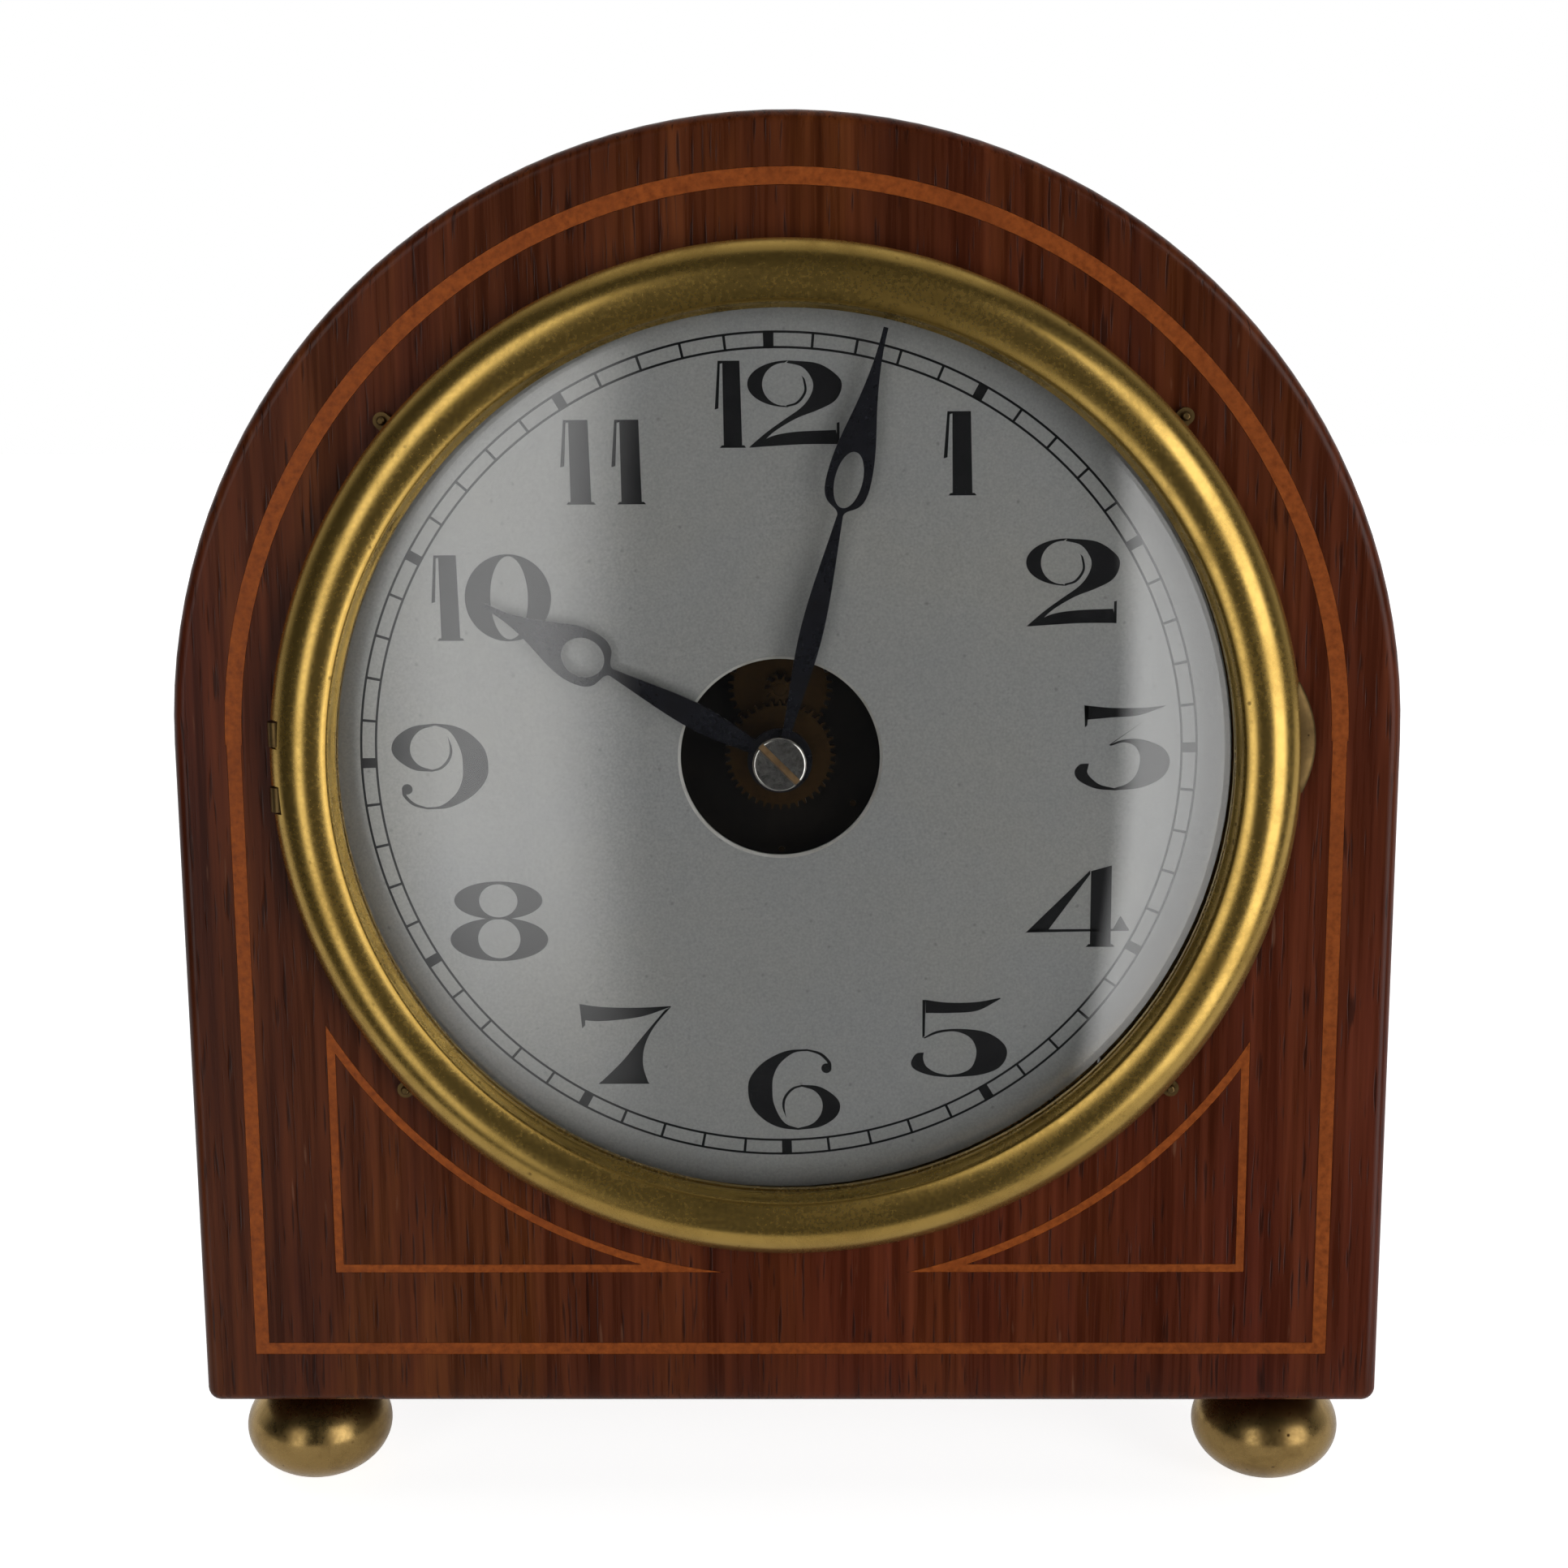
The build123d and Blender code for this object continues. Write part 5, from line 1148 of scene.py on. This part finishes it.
DIGITS: dict[str, Digit] = {
    "0": Digit((92, 29, 275, 205), ((Oval(183.5, 117, 91.5, 88, 0, 360), Oval(186, 117, 40, 84, 0, 360)),)),
    "1": Digit((36, 30, 130, 263), (
        (run((60, 30), (62, 258)), run((112, 30), (118, 258))),
        (run((46, 30), (46, 40)), run((62, 30), (62, 36))),
        (run((46, 30), (36, 160)), run((53, 34), (47, 157))),
        (run((50, 263), (130, 263)), run((56, 256), (124, 256))))),
    "2": Digit((25, 30, 265, 250), (
        (Oval(130, 89, 105, 59, 90, 270), Oval(120, 90, 57, 54, 90, 270)),
        (run((130, 30), (205, 38), (255, 70), (265, 98), (248, 132), (205, 155), (150, 176), (95, 208),
             (62, 238)),
         run((125, 36), (165, 47), (188, 75), (192, 100), (180, 128), (158, 152), (120, 178), (72, 212),
             (28, 249))),
        (run((125, 148), (155, 138), (175, 110), (172, 80), (163, 68)),
         run((124, 143), (150, 134), (169, 108), (167, 82), (163, 68))),
        (run((55, 238), (90, 220), (150, 210), (250, 206)),
         run((28, 250), (90, 246), (170, 242), (257, 242))),
        (run((252, 188), (252, 242)), run((259, 186), (259, 243))))),
    "3": Digit((25, 20, 270, 243), (
        (run((48, 20), (120, 27), (200, 27), (257, 21)), run((52, 58), (120, 52), (190, 46), (257, 22))),
        (run((48, 20), (50, 78)), run((60, 24), (56, 72))),
        (run((257, 21), (118, 122)), run((240, 34), (112, 124))),
        (run((112, 124), (150, 110), (200, 110), (252, 132), (270, 168), (252, 208), (200, 235), (130, 243)),
         run((118, 126), (150, 117), (178, 126), (192, 150), (192, 175), (182, 205), (160, 226),
             (128, 237))),
        (run((130, 243), (80, 238), (38, 218), (25, 195), (38, 175), (62, 172)),
         run((128, 237), (92, 228), (68, 210), (58, 195), (60, 182), (62, 172))))),
    "4": Digit((22, 20, 272, 222), (
        (run((178, 34), (178, 218)), run((228, 20), (228, 218))),
        (run((168, 222), (238, 222)), run((174, 215), (232, 215))),
        (run((22, 186), (176, 32)), run((76, 180), (176, 42))),
        (run((22, 186), (272, 182)), run((40, 178), (272, 177))),
        (run((232, 180), (250, 146)), run((272, 180), (252, 146))))),
    "5": Digit((30, 20, 270, 225), (
        (run((66, 24), (120, 31), (190, 30), (252, 19)), run((66, 58), (130, 58), (195, 52), (252, 22))),
        (run((58, 24), (58, 122)), run((66, 24), (64, 118))),
        (run((60, 122), (95, 104), (150, 99), (215, 107), (258, 134), (270, 165), (250, 200), (200, 219),
             (125, 225)),
         run((63, 124), (98, 110), (140, 106), (175, 120), (191, 145), (192, 172), (180, 200), (155, 214),
             (122, 219))),
        (run((125, 225), (80, 220), (42, 206), (30, 188), (42, 164), (62, 160)),
         run((122, 219), (92, 212), (70, 198), (62, 184), (60, 172), (62, 160))))),
    "6": Digit((33, 22, 268, 238), SIX_STROKES),
    "7": Digit((30, 28, 271, 240), (
        (run((30, 28), (90, 36), (180, 38), (271, 34)), run((34, 70), (90, 73), (190, 62), (271, 36))),
        (run((30, 28), (36, 92)), run((44, 34), (44, 84))),
        (run((255, 44), (190, 120), (140, 180), (80, 238)), run((271, 36), (225, 90), (200, 140), (195, 190),
                                                              (208, 238))),
        (run((76, 240), (212, 240)), run((84, 233), (206, 233))))),
    "8": Digit((30, 30, 270, 228), (
        (Oval(150, 77, 108, 47, 0, 360), Oval(150, 78, 47, 41, 0, 360)),
        (Oval(150, 174, 120, 54, 0, 360), Oval(150, 172, 52, 49, 0, 360)))),
    "9": Digit((33, 22, 268, 238), SIX_STROKES, upside_down=True),
}


@dataclass(frozen=True)
class Setting:
    """Where one figure stands on the dial, in millimetres from its centre, and how large it is."""
    digit: str
    x: float
    z: float
    width: float
    height: float


SETTINGS = (
    Setting("1", -7.17, 54.39, 4.7, 13.05), Setting("2", 2.55, 54.39, 14.27, 13.05),
    Setting("1", 27.62, 46.83, 5.05, 12.7), Setting("2", 44.91, 27.11, 14.29, 13.5),
    Setting("3", 52.97, 1.39, 14.72, 13.4), Setting("4", 46.43, -23.80, 16.17, 13.12),
    Setting("5", 28.02, -45.17, 15.20, 13.0), Setting("6", 1.85, -53.66, 14.65, 13.4),
    Setting("7", -24.80, -46.06, 14.49, 13.17), Setting("8", -44.44, -25.97, 15.41, 12.9),
    Setting("9", -52.89, -1.15, 14.98, 13.6), Setting("1", -50.97, 25.16, 4.9, 13.2),
    Setting("0", -41.64, 25.16, 13.3, 13.45), Setting("1", -30.48, 45.79, 5.3, 12.8),
    Setting("1", -22.74, 45.79, 5.2, 12.8),
)


@dataclass
class DialPrint:
    """What lies on the silvered dial: the printed track and figures, and a bevel round its hole in lighter
    metal, a painted highlight.
    """
    places: Places
    finishes: Finishes
    lift: float = 0.03
    track_outer: float = 64.75
    track_inner: float = 62.45
    line: float = 0.36
    tick: float = 0.42
    bar: float = 1.60
    turn: float = -0.9
    shift: Point2 = (-0.35, 0.45)
    hole: float = 15.5
    bevel: float = 0.4
    ring_points: int = 240
    stroke_points: int = 40
    rim_stations: int = 120

    @staticmethod
    def clock_points(radius: float, turn: np.ndarray) -> np.ndarray:
        """Gives points on a circle, by angles that go clockwise from twelve o'clock."""
        return np.stack([radius * np.sin(turn), radius * np.cos(turn)], axis=1)

    def lay(self, name: str, flat: np.ndarray, faces: list) -> Piece:
        """Lays flat points on the dial as a film of ink.

        Args:
            name: The piece's name.
            flat: Points across and up from the dial's centre.
            faces: Point indices of each face.

        Returns:
            The film.
        """
        at = self.places
        points = np.stack([at.dial_x + flat[:, 0], np.full(len(flat), at.dial_face - self.lift),
                           at.dial_z + flat[:, 1]], axis=1)
        return self.finishes.fit(make_piece(name, points, faces, closed=False), "dial_ink", "case")

    def track(self) -> Piece:
        """Prints the track: two thin rings, a tick at each minute and a thick bar at each hour.

        A ring joins two circles. A tick is a sector between the rings, a line's width or a bar's wide.

        Returns:
            The track.
        """
        flat, faces, count = [], [], 0
        for middle in (self.track_outer, self.track_inner):
            turn = np.linspace(0, 2 * pi, self.ring_points, endpoint=False)
            for radius in (middle - self.line / 2, middle + self.line / 2):
                flat.append(self.clock_points(radius, turn))
            faces += (grid_faces(2, self.ring_points, wrap_columns=True) + count).tolist()
            count += 2 * self.ring_points
        minute = np.arange(MINUTES)
        half = np.where(minute % (MINUTES // HOURS) == 0, self.bar, self.tick) / 2 / self.track_outer
        angle = np.radians(minute * 360 / MINUTES + self.turn)
        for radius in (self.track_inner, self.track_outer):
            for side in (-1, 1):
                flat.append(self.clock_points(radius, angle + side * half))
        corners = np.stack([minute + row * MINUTES for row in (0, 1, 3, 2)], axis=1)
        faces += (corners + count).tolist()
        return self.lay("minute_track", np.concatenate(flat) + np.array(self.shift), faces)

    def figures(self) -> Piece:
        """Prints the figures: each stroke is a two-row grid between its lines, fitted to the figure's place.

        Returns:
            The twelve numbers as one film.
        """
        flat, faces, count, samples = [], [], 0, self.stroke_points
        for setting in SETTINGS:
            digit = DIGITS[setting.digit]
            left, top, right, bottom = digit.box
            middle = np.array([(left + right) / 2, (top + bottom) / 2])
            size = np.array([setting.width / (right - left), -setting.height / (bottom - top)])
            if digit.upside_down:
                size = -size
            for first, second in digit.strokes:
                edges = np.concatenate([first.points(samples), second.points(samples)])
                flat.append((edges - middle) * size + np.array([setting.x, setting.z]))
                faces += (grid_faces(2, samples) + count).tolist()
                count += 2 * samples
        return self.lay("hour_figures", np.concatenate(flat), faces)

    def hole_rim(self) -> Piece:
        """Turns the bevel round the centre hole, whose lighter metal is a painted highlight: a thin cone a
        hair off the plate's own.

        Returns:
            The rim.
        """
        at = self.places
        profile = np.array([[self.hole + self.bevel, self.lift], [self.hole - self.lift, -self.bevel]])
        origin = (at.dial_x, at.dial_face, at.dial_z)
        rim = lathe("hole_rim", profile, self.rim_stations, Axis.FORWARD, origin, closed=False)
        return self.finishes.fit(rim, "painted_highlight_bevel", "case")

    def build(self) -> list[Piece]:
        """Prints the track and the figures, and paints a highlight on the hole's rim."""
        return [self.track(), self.figures(), self.hole_rim()]


@dataclass
class NutSlot:
    """The floor of the hand nut's slot, brown with old lacquer."""
    finishes: Finishes
    width: float = 1.0
    depth: float = 0.86
    angle: float = -45.0
    inset: float = 0.15
    rows: int = 12
    columns: int = 3

    def build(self) -> list[Piece]:
        """Lays a flat strip in the slot: a share of its length along it plus a share of its width across.

        Returns:
            The strip.
        """
        low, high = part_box("hand_nut")
        half = (high.x - low.x) / 2 / MM - self.inset
        way = np.array([cos(radians(self.angle)), sin(radians(self.angle))])
        u, v = np.meshgrid(np.linspace(-half, half, self.rows),
                           np.linspace(-0.5, 0.5, self.columns) * self.width, indexing="ij")
        centre = middle_of("hand_nut")
        x = centre[0] + u * way[0] - v * way[1]
        z = centre[2] + u * way[1] + v * way[0]
        points = np.stack([x, np.full_like(u, low.y / MM + self.depth), z], axis=-1)
        faces = grid_faces(self.rows, self.columns).tolist()
        strip = make_piece("slot_floor", points.reshape(-1, 3), faces, closed=False)
        return [self.finishes.fit(strip, "slot_lacquer", "minute_work")]


@dataclass
class Winding:
    """The coil's winding: fine enamelled wire in a rippled drum on the tilted bobbin."""
    finishes: Finishes
    tilt: float = COIL_TILT
    length: float = 14.9
    radius: float = 12.45
    bore: float = 6.3
    ripple: float = 0.14
    turns: int = 38
    points_per_turn: int = 6
    stations: int = 72

    def build(self) -> list[Piece]:
        """Turns a drum whose outside rises and falls by half a sine for each turn of wire.

        Returns:
            The winding.
        """
        centre = middle_of("coil_winding")
        along = np.linspace(-0.5, 0.5, self.turns * self.points_per_turn + 1)
        wave = np.abs(np.sin(pi * self.turns * (along + 0.5)))
        outside = np.stack([self.radius + self.ripple * (wave - 1), along * self.length], axis=1)
        inside = np.array([[self.bore, self.length / 2], [self.bore, -self.length / 2]])
        profile = np.concatenate([outside, inside])
        turn = np.linspace(0, 2 * pi, self.stations, endpoint=False)[:, None]
        radius, height = profile[None, :, 0], profile[None, :, 1]
        tilt = radians(self.tilt)
        up, over = radius * np.cos(turn), radius * np.sin(turn)
        points = np.stack([centre[0] + height * cos(tilt) - up * sin(tilt), centre[1] + over + 0 * height,
                           centre[2] + height * sin(tilt) + up * cos(tilt)], axis=-1)
        faces = grid_faces(self.stations, len(profile), True, True).tolist()
        drum = make_piece("wire_winding", points.reshape(-1, 3), faces)
        return [self.finishes.fit(drum, "coil_copper", "case", "copper_wire", "coil_winding")]


@dataclass
class CadPieces:
    """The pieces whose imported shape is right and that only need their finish."""
    finishes: Finishes
    own_finish: dict[str, str] = field(default_factory=lambda: {
        # Seat ring and pins wear the darker brass, painted shade; plate, bars and wheelwork wear near-black
        # finishes, painted shade inside the case.
        "base_board": "case_wood_across", "hand_nut": "nut_polish", "bezel_seat_ring": "painted_shade_brass",
        "bezel_pins": "painted_shade_brass", "front_plate": "painted_shade_plate", "mounting_bars": "painted_shade_plate",
        "hour_wheel": "painted_shade_wheels", "minute_wheel": "painted_shade_wheels", "cannon_pinion": "painted_shade_wheels",
        "minute_post": "painted_shade_wheels", "third_wheel": "painted_shade_wheels", "ratchet_wheel": "painted_shade_wheels"})

    def build(self) -> list[Piece]:
        """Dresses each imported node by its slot, or by its own name where it differs from its slot.

        Returns:
            The dressed pieces.
        """
        dressed = []
        for name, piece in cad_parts.items():
            slot = piece.material_slots[0].material.name.split(".")[0]
            self.finishes.wear(piece, self.own_finish.get(name, SLOT_FINISH[slot]))
            dressed.append(piece)
        return dressed


@dataclass(frozen=True)
class LightPanel:
    """A soft-edged panel of light in the room, by directions from the dial in degrees."""
    left: Point2
    right: Point2
    low: Point2
    high: Point2
    strength: float


@dataclass
class Studio:
    """The camera at the photograph's place, a pale floor, two light panels in the world and a lamp."""
    places: Places
    focal_pixels: float = 3200.0
    eye: Point3 = (6.272, -394.47, 71.33)
    yaw: float = 0.938
    pitch: float = 11.152
    roll: float = -0.39
    near_clip: float = 10.0
    table_front: float = 45.0
    table_reach: float = 2500.0
    table_points: int = 3
    table_cloud: float = 3.0
    table_lift: float = 0.86
    table_polish: float = 0.5
    lamp_forward: float = 100.0
    lamp_up: float = 1000.0
    lamp_size: Point2 = (1100.0, 500.0)
    lamp_level: float = 0.35
    room_edge: Point2 = (-0.20, 0.60)
    room_level: float = 0.025
    panels: tuple[LightPanel, ...] = (
        LightPanel((-40.0, -28.0), (-22.0, -12.0), (-55.0, -14.0), (24.0, 36.0), 2.35),
        LightPanel((27.0, 30.0), (54.0, 64.0), (-52.0, -30.0), (24.0, 36.0), 3.1))

    @staticmethod
    def stand(right: np.ndarray, up: np.ndarray, forward: np.ndarray, place: np.ndarray) -> Matrix:
        """Gives the matrix of a camera or lamp that looks along its forward direction.

        Args:
            right: Its right direction.
            up: Its up direction.
            forward: Where it looks.
            place: Where it stands, in millimetres.

        Returns:
            The matrix in metres.
        """
        columns = np.stack([right, up, -forward, place * MM], axis=1)
        return Matrix(np.vstack([columns, [0, 0, 0, 1]]).tolist())

    def camera(self) -> None:
        """Sets the camera by its right, up and forward directions.

        Forward is turned by the yaw and dipped by the pitch, and right and up are then rolled about it.
        """
        at = self.places
        yaw, pitch, roll = (radians(angle) for angle in (self.yaw, self.pitch, self.roll))
        right = np.array([cos(yaw), sin(yaw), 0.0])
        forward = np.array([-sin(yaw) * cos(pitch), cos(yaw) * cos(pitch), -sin(pitch)])
        up = np.cross(right, forward)
        rolled_right = right * cos(roll) + up * sin(roll)
        rolled_up = up * cos(roll) - right * sin(roll)
        data = bpy.data.cameras.new("camera")
        data.sensor_width = SENSOR_WIDTH
        data.lens = self.focal_pixels / IMAGE_SIZE * SENSOR_WIDTH
        data.clip_start = self.near_clip * MM
        camera = bpy.data.objects.new("camera", data)
        place = np.array([self.eye[0], at.front + self.eye[1], at.arch + self.eye[2]])
        camera.matrix_world = self.stand(rolled_right, rolled_up, forward, place)
        bpy.context.scene.collection.objects.link(camera)
        bpy.context.scene.camera = camera

    def floor(self) -> Piece:
        """Lays a table top that keeps the shadow and looks white to the camera and to polish where lit.

        Returns:
            The floor.
        """
        reach, count = self.table_reach, self.table_points
        x, y = np.meshgrid(np.linspace(-reach, reach, count),
                           np.linspace(self.places.front - self.table_front, reach, count), indexing="ij")
        points = np.stack([x, y, np.zeros_like(x)], axis=-1).reshape(-1, 3)
        floor = make_piece("floor", points, grid_faces(count, count).tolist())
        sheet = NodeSheet.for_finish("pale_floor")
        cloth = sheet.noise(sheet.even(), self.table_cloud)
        colour = sheet.ramp(cloth, (0.3, (0.80, 0.80, 0.80)), (0.7, (0.83, 0.83, 0.83)))
        matt = sheet.add("ShaderNodeBsdfDiffuse", {"Color": colour})
        glow = sheet.add("ShaderNodeEmission", {"Color": (1.0, 1.0, 1.0), "Strength": sheet.combine(
            "MULTIPLY", sheet.seen(self.table_polish), self.table_lift)})
        both = sheet.add("ShaderNodeAddShader", {0: matt.outputs[0], 1: glow.outputs[0]})
        sheet.tree.links.new(both.outputs[0], sheet.output.inputs["Surface"])
        floor.data.materials.append(sheet.owner)
        if floor.data.polygons[0].normal.z < 0:
            floor.data.flip_normals()
        return floor

    def world(self) -> None:
        """Fills the surroundings by direction: white behind the clock and a dim room in front of it.

        Two soft-edged panels light the front from left and right. What the camera sees is white.
        """
        world = bpy.data.worlds.new("studio")
        bpy.context.scene.world = world
        sheet = NodeSheet(world)
        way = sheet.add("ShaderNodeTexCoord", {}).outputs["Generated"]
        x, y, z = sheet.add("ShaderNodeSeparateXYZ", {0: way}).outputs
        turn = sheet.combine("ARCTAN2", x, sheet.combine("MULTIPLY", y, -1.0))
        strength = sheet.span(y, *self.room_edge, self.room_level, 1.0)
        for panel in self.panels:
            across = sheet.window(turn, tuple(map(radians, panel.left)), tuple(map(radians, panel.right)))
            upright = sheet.window(z, tuple(sin(radians(a)) for a in panel.low),
                                   tuple(sin(radians(a)) for a in panel.high))
            light = sheet.combine("MULTIPLY", sheet.combine("MULTIPLY", across, upright), panel.strength)
            strength = sheet.combine("MAXIMUM", strength, light)
        strength = sheet.combine("MAXIMUM", strength, sheet.seen(self.room_level))
        back = sheet.add("ShaderNodeBackground", {"Color": (1.0, 1.0, 1.0), "Strength": strength})
        sheet.tree.links.new(back.outputs[0], sheet.output.inputs["Surface"])

    def lamp(self) -> None:
        """Hangs one rectangular lamp above and a little in front, facing the middle of the bezel."""
        at = self.places
        data = bpy.data.lights.new("top_box", "AREA")
        data.shape = "RECTANGLE"
        data.size, data.size_y = (length * MM for length in self.lamp_size)
        data.energy = self.lamp_level * pi * data.size * data.size_y
        lamp = bpy.data.objects.new("top_box", data)
        bpy.context.scene.collection.objects.link(lamp)
        place = np.array([0.0, at.front - self.lamp_forward, at.bezel + self.lamp_up])
        aim = np.array([0.0, at.front, at.bezel]) - place
        aim /= np.linalg.norm(aim)
        side = np.array([1.0, 0.0, 0.0])
        lamp.matrix_world = self.stand(side, np.cross(side, aim), aim, place)

    def build(self) -> list[Piece]:
        """Sets camera, world, lamp and floor.

        Returns:
            The floor.
        """
        self.camera()
        self.world()
        self.lamp()
        bpy.context.scene.view_settings.view_transform = "Standard"
        return [self.floor()]


def main() -> None:
    """Builds the sub-assemblies in order and reports each piece."""
    logging.basicConfig(level=logging.INFO, format="%(message)s")
    places = Places.read()
    finishes = Finishes()
    finishes.mix()
    assemblies = [CadPieces(finishes), CaseBand(places, finishes), Feet(places, finishes),
                  Bezel(places, finishes), DialPrint(places, finishes), NutSlot(finishes),
                  Winding(finishes), Studio(places)]
    for assembly in assemblies:
        for piece in assembly.build():
            LOG.info("%s: %s, %d faces", type(assembly).__name__, piece.name, len(piece.data.polygons))


if __name__ == "__main__":
    main()
